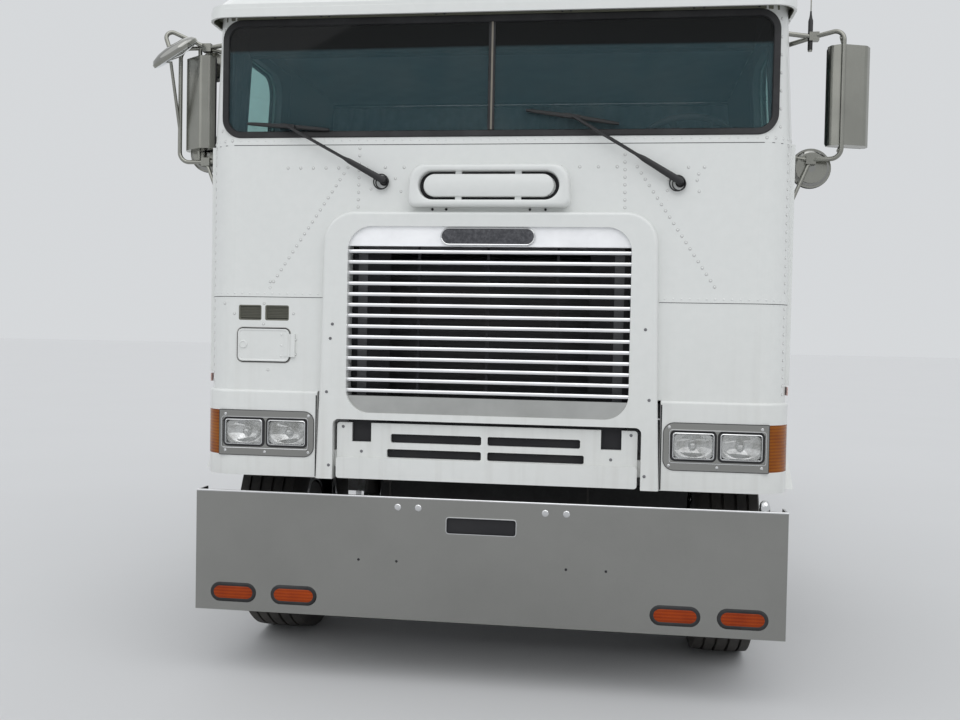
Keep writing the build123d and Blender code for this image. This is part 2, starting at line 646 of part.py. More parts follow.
def plan_section(x, s0, s1, front_r, back_r, z):
    """Plan section at one height, with rounded front and back corners."""
    rows = [(-x, y(s0), front_r), (x, y(s0), front_r), (x, y(s1), back_r), (-x, y(s1), back_r)]
    return Plane(origin=(0, 0, z)) * outline(rows)


def side_x(z):
    """Half width of the cab's outside at one height: upright to the belt, then leaning in."""
    rise = max(0.0, z - BELT_Z) / (CAB_TOP - BELT_Z)
    return CAB_X - (CAB_X - CAB_TOP_X) * rise


def leaning_wall(s, low, high, thickness):
    """Side wall on the driver's side between two s, with the cab's lean above the belt."""
    rows = [(CAB_X - thickness, low, 0), (CAB_X, low, 0), (CAB_X, BELT_Z, 0), (side_x(high), high, 0),
            (side_x(high) - thickness, high, 0), (CAB_X - thickness, BELT_Z, 0)]
    return front_slab(rows, *s)


def corner_shell(low_x, low_r, low_z, high_x, high_r, high_z):
    """Front wall and its rounded corners between two heights."""
    back = SIDE_START
    outer = loft([plan_section(low_x, CAB_FACE, back, low_r, 0, low_z),
                  plan_section(high_x, CAB_FACE, back, high_r, 0, high_z)], ruled=True)
    face = CAB_FACE + WALL
    inner = loft([plan_section(low_x - WALL, face, back + 1, low_r - WALL, 0, low_z),
                  plan_section(high_x - WALL, face, back + 1, high_r - WALL, 0, high_z)], ruled=True)
    return outer - inner


# Grey vent inserts in the face: low corner, high corner
VENTS = [((-1070, 1503), (-969, 1568)), ((-953, 1503), (-848, 1568))]


def cab_front():
    """Flat front wall that wraps round both front corners, cut for windshield, grille and vents."""
    wall = corner_shell(CAB_X, CAB_CORNER, FACE_LOW, CAB_X, CAB_CORNER, BELT_Z)
    wall = wall + corner_shell(CAB_X, CAB_CORNER, BELT_Z, CAB_TOP_X, TOP_CORNER, CAB_TOP)
    for low, high in VENTS:
        wall = wall - front_slab(rows_of(low, high, 8), 0, CAB_FACE + 12)
    wall = wall - front_slab(GRILLE_OUT, 0, SIDE_START)
    wall = wall - front_slab(rows_of(*WINDSHIELD, 70), 0, SIDE_START)
    (x0, z0), (x1, z1) = ACCESS
    pocket = front_slab(rows_of((x0 - 6, z0 - 6), (x1 + 6, z1 + 6), 26), 0, CAB_FACE + 30)
    flap_leaf = block((ACCESS_HINGE_X + ACCESS_HINGE_R + CLEAR, ACCESS_HINGE_X + 24),
                      (ACCESS_HINGE_S - 3, CAB_FACE), (z0 + 20, z1 - 20))
    door_leaf = block((CAB_X - 20, HINGE_X + 3), (178, HINGE_S - HINGE_R - CLEAR), (1275, 2255))
    return fused([wall - pocket, flap_leaf] + both_sides(door_leaf))


save("cab_front", [cab_front()])


def cab_sides():
    """Side walls with door openings and front wheel arches."""
    wall = leaning_wall((SIDE_START, CAB_BACK), PANEL_LOW, CAB_TOP, SIDE_WALL)
    wall = wall - block((CAB_X - SIDE_WALL - 5, CAB_X + 5), (SIDE_START + 120, CAB_BACK + 1),
                        (PANEL_LOW - 1, SKIRT_LOW))
    arch = bar((CAB_X - SIDE_WALL - 5, FRONT_AXLE_S, ARCH_Z), (CAB_X + 60, FRONT_AXLE_S, ARCH_Z), ARCH_R)
    doorway = side_slab(rows_of((SIDE_START - 1, DOOR_LOW - MOVE_GAP),
                                (DOOR_BACK + MOVE_GAP, DOOR_HIGH + MOVE_GAP), 0),
                        CAB_TOP_X - SIDE_WALL - 5, CAB_X + 5)
    flare = bar((CAB_X - 5, FRONT_AXLE_S, ARCH_Z), (CAB_X + 55, FRONT_AXLE_S, ARCH_Z), ARCH_R + FLARE_T)
    reach = front_slab([(CAB_X - 5, PANEL_LOW, 0), (CAB_X + 49, PANEL_LOW, 0), (CAB_X + 32, SKIRT_LOW, 0),
                        (CAB_X + 11, ARCH_Z + ARCH_R + FLARE_T, 0), (CAB_X - 5, ARCH_Z + ARCH_R + FLARE_T, 0)],
                       SIDE_START + 5, FRONT_AXLE_S + ARCH_R)
    ridge = reach & flare
    ridge = ridge - block((CAB_X - 10, CAB_X + 60), (FRONT_AXLE_S, FRONT_AXLE_S + ARCH_R + 1),
                          (PANEL_LOW - 1, SKIRT_LOW))
    return both_sides(wall + ridge - arch - doorway)


save("cab_sides", cab_sides())

inside_x = CAB_X - SIDE_WALL
inside_top_x = CAB_TOP_X - SIDE_WALL
back_rows = [(-inside_x, SKIRT_LOW, 0), (inside_x, SKIRT_LOW, 0), (inside_x, BELT_Z, 0),
             (inside_top_x, CAB_TOP, 0), (-inside_top_x, CAB_TOP, 0), (-inside_x, BELT_Z, 0)]
save("cab_back", [front_slab(back_rows, CAB_BACK - SIDE_WALL, CAB_BACK)])


def cab_floor():
    """Floor with a raised tunnel over the engine and radiator, and the tilt pivot arms."""
    back = CAB_BACK - SIDE_WALL
    start = CAB_FACE + WALL
    floor = plan_slab([(-1080, start, 0), (1080, start, 0), (inside_x, SIDE_START + 1, 0),
                       (inside_x, back, 0), (-inside_x, back, 0), (-inside_x, SIDE_START + 1, 0)],
                      FLOOR_LOW, FLOOR_LOW + FLOOR_T)
    outer = side_slab([(start, FLOOR_LOW, 0), (1800, FLOOR_LOW, 0), (1800, 1390, 0), (1100, 1390, 0),
                       (830, 1635, 0), (470, 1850, 0), (start, 1850, 0)], -560, 560)
    inner = side_slab([(start - 5, FLOOR_LOW - 5, 0), (1760, FLOOR_LOW - 5, 0), (1760, 1350, 0),
                       (1085, 1350, 0), (810, 1597, 0), (457, 1810, 0), (start - 5, 1810, 0)], -520, 520)
    whole = floor + outer - inner
    arm = side_slab([(118, 838, 30), (182, 838, 30), (182, FLOOR_LOW + 5, 0),
                     (start + 2, FLOOR_LOW + 5, 0), (start + 2, 1060, 0), (118, 1000, 0)],
                    EAR_X[1] + 3, EAR_X[1] + 23)
    bore = bar((EAR_X[1], PIVOT_S, PIVOT_Z), (EAR_X[1] + 30, PIVOT_S, PIVOT_Z), PIVOT_R)
    cross = block((EAR_X[1] + 3, 640), (start + 2, 182), (FLOOR_LOW - 10, FLOOR_LOW + 5))
    top_s, top_z = TILT_TOP
    bracket_x = TILT_X + TILT_EYE_W + CLEAR
    bracket = side_slab([(top_s - 30, top_z - 32, 20), (top_s + 30, top_z - 32, 20),
                         (top_s + 50, FLOOR_LOW + 5, 0), (top_s - 50, FLOOR_LOW + 5, 0)],
                        bracket_x, bracket_x + 18)
    seat = block((-560, bracket_x + 18), (top_s - 50, top_s + 50), (FLOOR_LOW - 6, FLOOR_LOW + 5))
    return fused([whole, bracket, seat] + both_sides((arm + cross) - bore))


save("cab_floor", [cab_floor()])


# Roof sections: half width, front, back, front corner, back corner, height
ROOF = [
    (1214, 12, 2862, 95, 30, CAB_TOP),
    (1178, 130, 2858, 190, 60, 2930),
    (1090, 560, 2850, 260, 120, 3160),
    (900, 1100, 2800, 300, 160, 3270),
]


LIP_LOW = 2768.0
LIP_T = 13.0
LIP_BACK = 430.0


def rows_in(x, s0, s1):
    """Plan rows of a plain rectangle."""
    return [(-x, s0, 0), (x, s0, 0), (x, s1, 0), (-x, s1, 0)]


def cab_roof():
    """Raised roof shell whose rim stands out over the windshield as a brow."""
    shell_t = 45
    outer = loft([plan_section(*row) for row in ROOF])
    shrunk = [(x - shell_t, s0 + shell_t, s1 - shell_t, fr - 20, max(br - 20, 10), z)
              for x, s0, s1, fr, br, z in ROOF]
    shrunk = [row[:5] + (row[5] - (1 if i == 0 else shell_t),) for i, row in enumerate(shrunk)]
    inner = loft([plan_section(*row) for row in shrunk])
    rim_x, rim_s, rim_back, rim_r = ROOF[0][0], ROOF[0][1], ROOF[0][2] - 10, ROOF[0][3]
    ring = plan_slab(corner_rows(rim_x - 4, rim_s + 4, rim_back, rim_r), CAB_TOP, CAB_TOP + 22)
    hollow = rows_in(inside_top_x, CAB_FACE + WALL, CAB_BACK - SIDE_WALL)
    ring = ring - plan_slab(hollow, CAB_TOP - 1, CAB_TOP + 23)
    lip = plan_slab(corner_rows(rim_x, rim_s, LIP_BACK, rim_r), LIP_LOW, CAB_TOP + 4)
    lip = lip - plan_slab(corner_rows(rim_x - LIP_T, rim_s + LIP_T, LIP_BACK + 1, rim_r - LIP_T),
                          LIP_LOW - 1, CAB_TOP + 5)
    taper = side_slab([(rim_s + 180, LIP_LOW - 1, 0), (LIP_BACK + 1, LIP_LOW - 1, 0),
                       (LIP_BACK + 1, CAB_TOP + 1, 0)], -rim_x - 1, rim_x + 1)
    return fused([outer - inner, ring, lip - taper])


roof_shell = cab_roof()
save("cab_roof", [roof_shell])

# Windshield, grille and the mouldings of the face


def windshield_seal():
    """Rubber seal round the two panes, with the centre divider."""
    (x0, z0), (x1, z1) = WINDSHIELD
    body = front_slab(rows_of((x0, z0), (x1, z1), 70), CAB_FACE - 4, CAB_FACE + 34)
    lip = front_slab(rows_of((x0 - 10, z0 - 10), (x1 + 10, z1 + 10), 80), CAB_FACE - 6, CAB_FACE)
    seal = body + lip
    for low, high in PANES:
        seal = seal - front_slab(rows_of(low, high, 55), 0, SIDE_START)
    return seal


PANES = [((-1122.0, 2305.0), (-19.0, 2743.0)), ((19.0, 2305.0), (1122.0, 2743.0))]
save("windshield_seal", [windshield_seal()])
save("windshield_glass", [front_slab(rows_of(low, high, 55), CAB_FACE + 3, CAB_FACE + 3 + GLASS_T)
                          for low, high in PANES])

surround = front_slab(GRILLE_OUT, SURROUND_FACE, CAB_FACE + WALL)
surround_front = surround.faces().sort_by(Axis.Y)[0]
surround = fillet([edge for edge in surround_front.edges() if edge.center().Z > PANEL_LOW + 1], 14)
surround = surround - front_slab(GRILLE_IN, 0, SIDE_START) - front_slab(LOWER_OPENING, 0, SIDE_START)
save("grille_surround", [surround])

BAR_COUNT = 14
GRILLE_TOP_PLATE = 1821.0
GRILLE_LOW_PLATE = 1195.0


def grille():
    """Polished frame with a badge plate, and its row of level bars."""
    frame = front_slab(GRILLE_IN, 52, 92)
    opening = front_slab(rows_of((-560, GRILLE_LOW_PLATE), (560, GRILLE_TOP_PLATE), 10), 0, 100)
    pieces = [frame - opening]
    pitch = (GRILLE_TOP_PLATE - GRILLE_LOW_PLATE) / BAR_COUNT
    for index in range(BAR_COUNT):
        z = GRILLE_LOW_PLATE + pitch * (index + 0.5)
        pieces.append(side_slab(rows_of((54, z - 8), (86, z + 8), 7), -562, 562))
    for x in (-290, 0, 290):
        pieces.append(block((x - 5, x + 5), (84, 98), (GRILLE_LOW_PLATE - 5, GRILLE_TOP_PLATE + 5)))
    badge = front_slab(stadium(0, 1862, 390, 72), 44, 53)
    return fused(pieces + [badge])


save("grille", [grille()])


def lower_panel():
    """Slotted panel under the grille, with a proud ledge and two square recesses."""
    plate = front_slab(rows_of((-626, 846), (626, 1080), 12), 62, 80)
    ledge = front_slab(rows_of((-626, 846), (626, 935), 12), 47, 63)
    panel = plate + ledge
    for side in (1, -1):
        for low, high, x in ((1000, 1037, 395), (937, 973, 411)):
            edge = sorted((side * 13, side * x))
            panel = panel - front_slab(rows_of((edge[0], low), (edge[1], high), 8), 0, 100)
        edge = sorted((side * 479, side * 562))
        panel = panel - block(edge, (40, 100), (1000, 1090))
        lug = sorted((side * 590, side * 640))
        panel = panel + block(lug, (80, 100), (890, 960))
    return panel


save("lower_panel", [lower_panel()])

HEADLAMPS_X = (849.0, 1038.0)
HEADLAMP_Z = 1026.0
HEADLAMP_W = 165.0
HEADLAMP_H = 107.0
CORNER_FACE = 64.0
CORNER_X = 1235.0
BEZEL = ((730.0, 928.0), (1144.0, 1118.0))
BEZEL_R = 42.0
TURN_BOX = ((BEZEL[1][0], 1250.0), (50.0, 168.0), (BEZEL[0][1], BEZEL[1][1]))


def corner_panel():
    """Corner panel on the driver's side, with its lamps, its bezel and the turn lamp cut from it."""
    outer = plan_slab([(716, CORNER_FACE, 0), (CORNER_X, CORNER_FACE, 143), (CORNER_X, SIDE_START, 0),
                       (716, SIDE_START, 0)], PANEL_LOW, FACE_LOW)
    top = outer.faces().sort_by(Axis.Z)[-1]
    soft = [edge for edge in top.edges() if edge.center().X > 717 and edge.center().Y < y(SIDE_START) - 1]
    outer = fillet(soft, 12)
    inner = plan_slab([(700, CORNER_FACE + 55, 0), (CORNER_X - 55, CORNER_FACE + 55, 90),
                       (CORNER_X - 55, SIDE_START + 5, 0), (700, SIDE_START + 5, 0)],
                      PANEL_LOW - 5, FACE_LOW + 5)
    panel = outer - inner
    turn = panel & block(*TURN_BOX)
    panel = panel - block(*TURN_BOX)
    (bx0, bz0), (bx1, bz1) = BEZEL
    rows = [(bx0, bz0, BEZEL_R), (bx1, bz0, 0), (bx1, bz1, 0), (bx0, bz1, BEZEL_R)]
    panel = panel - front_slab(rows, 0, CORNER_FACE + 56)
    bezel = front_slab(rows, CORNER_FACE - 3, CORNER_FACE + 20)
    bezel = bezel - front_slab(rows_of((bx0 + 24, bz0 + 30), (bx1 - 10, bz1 - 28), 10), 0, CORNER_FACE + 6)
    lamps = []
    for x in HEADLAMPS_X:
        rows = rows_of((x - HEADLAMP_W / 2, HEADLAMP_Z - HEADLAMP_H / 2),
                       (x + HEADLAMP_W / 2, HEADLAMP_Z + HEADLAMP_H / 2), 12)
        bezel = bezel - front_slab(rows, 0, CORNER_FACE + 45)
        lamps.append(front_slab(rows, CORNER_FACE + 2, CORNER_FACE + 45))
    return panel, lamps, turn, bezel


corner, corner_lamps, turn_lamp, lamp_bezel = corner_panel()
save("corner_panels", both_sides(corner))
save("headlamps", [image for lamp in corner_lamps for image in both_sides(lamp)])

# Marker lamps along the front of the roof: places across
ROOF_LAMPS_X = (0.0, 330.0, 790.0)
roof_lamps = []
for lamp_x in ROOF_LAMPS_X:
    marker = Pos(lamp_x, y(150), 2925) * Rot(35, 0, 0) * Box(86, 60, 34)
    roof_lamps = roof_lamps + ([marker] if lamp_x == 0 else both_sides(marker))
save("turn_lamps", both_sides(turn_lamp) + [lamp - roof_shell for lamp in roof_lamps])

# Lamp bezels and the long grab handles behind the doors
GRAB_S = DOOR_BACK + 62.0
grab = bent_bar([(CAB_X, GRAB_S, 1330), (CAB_X + 50, GRAB_S, 1330), (CAB_X + 50, GRAB_S, 2140),
                 (CAB_X, GRAB_S, 2140)], 14, 36)
save("cab_brightwork", both_sides(lamp_bezel) + both_sides(grab))


def vent_scoop():
    """Low moulding with an oval opening and the panel inside it."""
    body = front_slab([(-340, 1982, 10), (340, 1982, 10), (322, 2154, 45), (-322, 2154, 45)], 22, CAB_FACE)
    pocket = front_slab(stadium(0, 2070, 580, 119), 0, 60)
    panel = front_slab(stadium(0, 2070, 530, 88), 30, 61)
    return body - pocket + panel


save("vent_scoop", [vent_scoop()])

# Wiper rows: pivot x, pivot z, blade start x, z, blade end x, z
WIPERS = [
    (-443, 2093, -1037, 2335, -681, 2306),
    (773, 2086, 146, 2380, 524, 2321),
]


def wiper(px, pz, ax, az, bx, bz):
    """Wiper with its pivot on the face, arm and blade."""
    blade_s = CAB_FACE - 14
    mid = ((ax + bx) / 2, blade_s - 18, (az + bz) / 2)
    pivot = bar((px, 46, pz), (px, CAB_FACE, pz), 14)
    arm = bar((px, 54, pz), mid, 7)
    post = bar(mid, (mid[0], blade_s, mid[2]), 8)
    blade = bar((ax, blade_s, az), (bx, blade_s, bz), 6)
    return fused([pivot, arm, post, blade])


save("wipers", [wiper(*row) for row in WIPERS])

# Small access door in the face

access_z0, access_z1, access_x1 = ACCESS[0][1], ACCESS[1][1], ACCESS[1][0]
access_leaf = front_slab(rows_of(*ACCESS, 20), ACCESS_FACE, ACCESS_FACE + ACCESS_T)
access_tube = bar((ACCESS_HINGE_X, ACCESS_HINGE_S, access_z0 + 20),
                  (ACCESS_HINGE_X, ACCESS_HINGE_S, access_z1 - 20), ACCESS_HINGE_R)
access_strap = block((access_x1 - 20, ACCESS_HINGE_X), (ACCESS_FACE - 3, ACCESS_FACE + 1),
                     (access_z0 + 22, access_z1 - 22))
save("access_door", [fused([access_leaf, access_tube, access_strap])])

# Doors, their glass and their mirrors

WINDOW_LOW = 2290.0
WINDOW_HIGH = 2712.0
DOOR_WINDOWS = [
    [(384, WINDOW_LOW, 25), (814, WINDOW_LOW, 45), (814, WINDOW_HIGH, 110), (384, WINDOW_HIGH, 25)],
    [(283, WINDOW_LOW, 20), (348, WINDOW_LOW, 15), (348, WINDOW_HIGH, 15), (283, WINDOW_HIGH - 30, 20)],
]


def door():
    """Door leaf on the driver's side with its window, vent window and long hinge."""
    leaf = leaning_wall((SIDE_START + MOVE_GAP, DOOR_BACK), DOOR_LOW, DOOR_HIGH, SIDE_WALL)
    for window in DOOR_WINDOWS:
        leaf = leaf - side_slab(window, CAB_TOP_X - SIDE_WALL - 5, CAB_X + 5)
    tube = bar((HINGE_X, HINGE_S, 1275), (HINGE_X, HINGE_S, 2255), HINGE_R)
    strap = block((CAB_X, CAB_X + 3), (HINGE_S + 3, HINGE_S + 38), (1275, 2255))
    handle = block((CAB_X, CAB_X + 28), (DOOR_BACK - 150, DOOR_BACK - 40), (1700, 1725))
    return fused([leaf, tube, strap, handle])


def door_glass():
    """Panes that lean with the door, on the driver's side."""
    sheet = leaning_wall((270, 830), WINDOW_LOW - 5, WINDOW_HIGH + 5, GLASS_T)
    sheet = Pos(-26, 0, 0) * sheet
    return [sheet & side_slab(window, CAB_TOP_X - SIDE_WALL - 5, CAB_X + 5) for window in DOOR_WINDOWS]


left_door = door()
save("door_left", [left_door])
save("door_right", [mirror(left_door, about=Plane.YZ)])
left_glass = door_glass()
save("door_glass_left", left_glass)
save("door_glass_right", [mirror(pane, about=Plane.YZ) for pane in left_glass])

# Mirrors, worked out on the driver's side and mirrored for the other
MIRROR_S = 300.0
HEAD_W = 178.0
HEAD_H = 410.0
HEAD_Z = 2472.0
TUBE_R = 9.5
HEAD_OUT = 84.1
OVAL_OUT = 107.3
FOOT_S = 366.0
BRACE_Z = 1950.0


def mirror_head(x, turn):
    """Stainless housing with a rounded front, its glass side turned towards the driver."""
    half = HEAD_W / 2
    rows = [(-half, 26, 4), (half, 26, 4), (half, -6, 26), (half - 34, -36, 30), (34 - half, -36, 30),
            (-half, -6, 26)]
    body = extrude(Plane(origin=(0, 0, HEAD_Z - HEAD_H / 2)) * outline(rows), amount=HEAD_H)
    return Pos(x, y(MIRROR_S), 0) * Rot(0, 0, turn) * body


def round_mirror(x, s, z, radius):
    """Round convex mirror with a stepped shell on its front side."""
    disc = bar((x, s - 8, z), (x, s + 10, z), radius)
    shell = bar((x, s - 24, z), (x, s - 7, z), radius * 0.78)
    return disc + shell


def clamp(x, z):
    """Clamp block on a bracket tube."""
    return block((x - 20, x + 20), (MIRROR_S - 15, MIRROR_S + 15), (z - 18, z + 18))


def arms_to_door(x, high, low):
    """Tubes from the upper and lower clamps to the door, and the brace under them."""
    return [
        bar((CAB_TOP_X - 20, MIRROR_S - 30, high + 12), (x, MIRROR_S, high), 10),
        bar((CAB_TOP_X - 20, FOOT_S, high - 30), (x, MIRROR_S, high), 10),
        bar((CAB_X - 20, MIRROR_S + 40, low + 20), (x, MIRROR_S, low), 10),
        bar((CAB_X - 20, MIRROR_S - 30, BRACE_Z), (x, MIRROR_S, low), 8),
    ]


def door_pads(high, low):
    """Feet on the door under the tubes, from rows of s, z and half width."""
    rows = [(MIRROR_S - 30, high - 8, 26), (FOOT_S, high - 32, 17), (MIRROR_S + 40, low + 18, 26),
            (MIRROR_S - 30, BRACE_Z, 26)]
    return [block((CAB_TOP_X - 20, side_x(z) + 6), (s - half, s + half), (z - 24, z + 24))
            for s, z, half in rows]


def driver_mirrors():
    """Head behind one bent tube, with a round mirror and an aerial."""
    head_x = MIRROR_REACH - HEAD_OUT
    post_x = head_x - 38
    high, low, arm_x = 2722.0, 2212.0, 1318.0
    post_s = MIRROR_S - 58
    tube = bent_bar([(arm_x, MIRROR_S, high), (post_x, post_s, high + 14), (post_x, post_s, low - 2),
                     (arm_x, MIRROR_S, low)], TUBE_R, 40)
    pins = [bar((head_x - 20, MIRROR_S, HEAD_Z + side * 190), (post_x - 10, post_s, HEAD_Z + side * 232), 9)
            for side in (1, -1)]
    aerial = [bar((arm_x - 14, MIRROR_S, high - 60), (arm_x - 14, MIRROR_S, high + 60), 9),
              bar((arm_x - 14, MIRROR_S, high + 50), (arm_x - 14, MIRROR_S, high + 560), 2.5)]
    drop = bar((arm_x, MIRROR_S, low), (arm_x, MIRROR_S + 25, low - 30), 9)
    pieces = [mirror_head(head_x, 18.0), tube, clamp(arm_x, high), clamp(arm_x, low), drop,
              round_mirror(arm_x + 6, MIRROR_S + 30, low - 30, 82)]
    pads = door_pads(high, low)
    return fused(pieces + pins + aerial + pads + arms_to_door(arm_x, high, low)) - left_door


def passenger_mirrors():
    """Turned head beside a bent tube, two round mirrors and an oval one that looks down."""
    head_x = 1352.0
    post_x = head_x + 92
    high, low, arm_x = 2724.0, 2214.0, 1318.0
    tube = bent_bar([(arm_x, MIRROR_S, high), (post_x, MIRROR_S, high), (post_x, MIRROR_S, low),
                     (arm_x, MIRROR_S, low)], TUBE_R, 45)
    pins = [bar((head_x, MIRROR_S, HEAD_Z + side * 190), (head_x, MIRROR_S, HEAD_Z + side * 250), 9)
            for side in (1, -1)]
    oval_x, oval_s, oval_z = MIRROR_REACH - OVAL_OUT, MIRROR_S - 52, 2684.0
    oval_w, oval_d = 116.0, 74.0
    oval = extrude(Ellipse(oval_w, oval_d), amount=14)
    oval = oval + Pos(0, 0, 13) * extrude(Ellipse(oval_w * 0.8, oval_d * 0.78), amount=15)
    oval = Pos(oval_x, y(oval_s), oval_z) * Rot(0, 31, 0) * Rot(25, 0, 0) * oval
    hook = bent_bar([(arm_x, MIRROR_S, high), (post_x + 64, oval_s + 4, high + 82),
                     (oval_x + 22, oval_s, oval_z)], TUBE_R, 26)
    stay = bar((oval_x + 30, oval_s + 4, oval_z - 10), (post_x, MIRROR_S, 2350), 7)
    upper_round = round_mirror(1306, MIRROR_S + 62, 2660, 70)
    upper_link = bar((arm_x, MIRROR_S, high), (1306, MIRROR_S + 50, 2668), 8)
    lower_round = round_mirror(1330, MIRROR_S + 58, 2262, 84)
    lower_link = bar((arm_x, MIRROR_S, low), (1330, MIRROR_S + 44, 2240), 8)
    pieces = [mirror_head(head_x, 35.0), tube, clamp(arm_x, high), clamp(arm_x, low), oval, hook, stay,
              upper_round, upper_link, lower_round, lower_link]
    pads = door_pads(high, low)
    return fused(pieces + pins + pads + arms_to_door(arm_x, high, low)) - left_door


save("mirrors_left", [driver_mirrors()])
save("mirrors_right", [mirror(passenger_mirrors(), about=Plane.YZ)])

# Inside the cab

SEAT_X = 850.0
FLOOR_TOP = FLOOR_LOW + FLOOR_T
seat_base = block((SEAT_X - 170, SEAT_X + 170), (880, 1260), (FLOOR_TOP, 1600))
seat_cushion = block((SEAT_X - 250, SEAT_X + 250), (820, 1330), (1600, 1740))
seat_back = side_slab([(1280, 1740, 30), (1420, 1740, 30), (1540, 2430, 40), (1420, 2430, 40)],
                      SEAT_X - 240, SEAT_X + 240)
bunk = block((-1150, 1150), (1900, 2780), (FLOOR_TOP, 1700))
save("seats_and_bunk", both_sides(fused([seat_base, seat_cushion, seat_back])) + [bunk])

WHEEL_AT = (830.0, 620.0, 2290.0)
WHEEL_LEAN = 35.0
STEER_R = 235.0
wheel_plane = Plane(origin=(WHEEL_AT[0], y(WHEEL_AT[1]), WHEEL_AT[2]),
                    z_dir=(0, math.sin(math.radians(WHEEL_LEAN)), math.cos(math.radians(WHEEL_LEAN))))
dash_rows = [(CAB_FACE + WALL, 1851, 0), (500, 1851, 20), (560, 2100, 40), (420, 2240, 40),
             (CAB_FACE + WALL, 2250, 0)]
dash = side_slab(dash_rows, -1060, 1060)
column = wheel_plane * Pos(0, 0, -170) * Cylinder(34, 320)
save("dashboard", [dash + column])
rim_ring = wheel_plane * Torus(STEER_R, 15)
steer_hub = wheel_plane * Cylinder(38, 18)
spokes = [wheel_plane * Rot(0, 0, angle) * Pos(STEER_R / 2, 0, 0) * Box(STEER_R, 30, 10)
          for angle in (-90, 20, 160)]
save("steering_wheel", [fused([rim_ring, steer_hub] + spokes)])

# Cab tilt cylinder: barrel pinned to the rail, rod up to the cab floor

(base_s, base_z), (top_s, top_z) = TILT_BASE, TILT_TOP
tilt_len = math.hypot(top_s - base_s, top_z - base_z)
tilt_dir = ((top_s - base_s) / tilt_len, (top_z - base_z) / tilt_len)


def along(distance):
    """Point on the cylinder's axis at a distance from its base pin."""
    return (TILT_X, base_s + tilt_dir[0] * distance, base_z + tilt_dir[1] * distance)


ROD_R = 18.0
barrel = bar(along(42), along(tilt_len - 70), 36) - bar(along(66), along(tilt_len), ROD_R + CLEAR)
barrel_neck = bar(along(12), along(46), TILT_EYE_W - 1)
barrel_eye = bar((TILT_X - TILT_EYE_W, base_s, base_z), (TILT_X + TILT_EYE_W, base_s, base_z), 34)
barrel_bore = bar((TILT_X - 30, base_s, base_z), (TILT_X + 30, base_s, base_z), TILT_PIN_R + CLEAR)
save("tilt_barrel", [fused([barrel, barrel_neck, barrel_eye]) - barrel_bore])
rod_eye = bar((TILT_X - TILT_EYE_W, top_s, top_z), (TILT_X + TILT_EYE_W, top_s, top_z), 26)
save("tilt_rod", [bar(along(90), along(tilt_len - 15), ROD_R) + rod_eye])
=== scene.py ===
import json
import math

import bmesh
import bpy
import numpy as np
from mathutils import Matrix, Vector


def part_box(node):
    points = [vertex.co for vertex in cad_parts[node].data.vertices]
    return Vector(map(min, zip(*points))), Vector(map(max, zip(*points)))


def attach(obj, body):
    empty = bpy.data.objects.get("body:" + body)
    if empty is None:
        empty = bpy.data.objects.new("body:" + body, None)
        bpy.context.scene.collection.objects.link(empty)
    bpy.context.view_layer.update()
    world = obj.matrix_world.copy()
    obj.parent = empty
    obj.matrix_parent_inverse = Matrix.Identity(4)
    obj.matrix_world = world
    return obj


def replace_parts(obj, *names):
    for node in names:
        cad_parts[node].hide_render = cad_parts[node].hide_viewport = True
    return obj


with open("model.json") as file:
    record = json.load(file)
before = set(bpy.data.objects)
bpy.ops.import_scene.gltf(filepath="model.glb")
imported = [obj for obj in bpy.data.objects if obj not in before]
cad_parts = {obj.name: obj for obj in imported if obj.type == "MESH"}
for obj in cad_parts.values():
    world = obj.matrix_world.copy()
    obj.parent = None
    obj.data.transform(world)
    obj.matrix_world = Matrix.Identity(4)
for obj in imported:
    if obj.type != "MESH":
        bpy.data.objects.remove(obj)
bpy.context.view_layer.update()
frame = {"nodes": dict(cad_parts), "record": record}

# Places are in metres: +Z is up, the front faces -Y, and the driver's side is at +X. Tables that say so are
# in millimetres. An s is a distance behind the foremost point.

MM = 0.001
FRONT_Y = -3.45
FACE_Y = FRONT_Y + 0.075
BACK_Y = FRONT_Y + 2.860
CAB_HALF, TOP_HALF = 1.225, 1.192
CORNER_R, TOP_CORNER_R = 0.138, 0.112
BELT_Z, CAB_TOP = 2.262, 2.800
LEAN = math.atan2(CAB_HALF - TOP_HALF, CAB_TOP - BELT_Z)
BROW_HALF, BROW_S, BROW_R = 1.214, 0.012, 0.095
SHELL_SKIN, BROW_SKIN = 0.020, 0.011
TYRE_R = 0.520
FRONT_AXLE_Y = FRONT_Y + 0.800
REAR_AXLES_Y = (FRONT_Y + 4.840, FRONT_Y + 6.160)
FRONT_MOUNT_X = 1.195
DUAL_MOUNT_X = 0.911
WHEEL_OFFSET = 0.168
SIDES = (("left", "driver", 1), ("right", "passenger", -1))
AHEAD, BACK, UP = (0.0, -1.0, 0.0), (0.0, 1.0, 0.0), (0.0, 0.0, 1.0)


def math_node(operation, swapped=False):
    """A method that adds one Math node for a value, and for a second one where it is given."""

    def method(self, *others):
        values = (*others, self) if swapped else (self, *others)
        return self.finish.add("ShaderNodeMath", {"operation": operation}, dict(enumerate(values)))

    return method


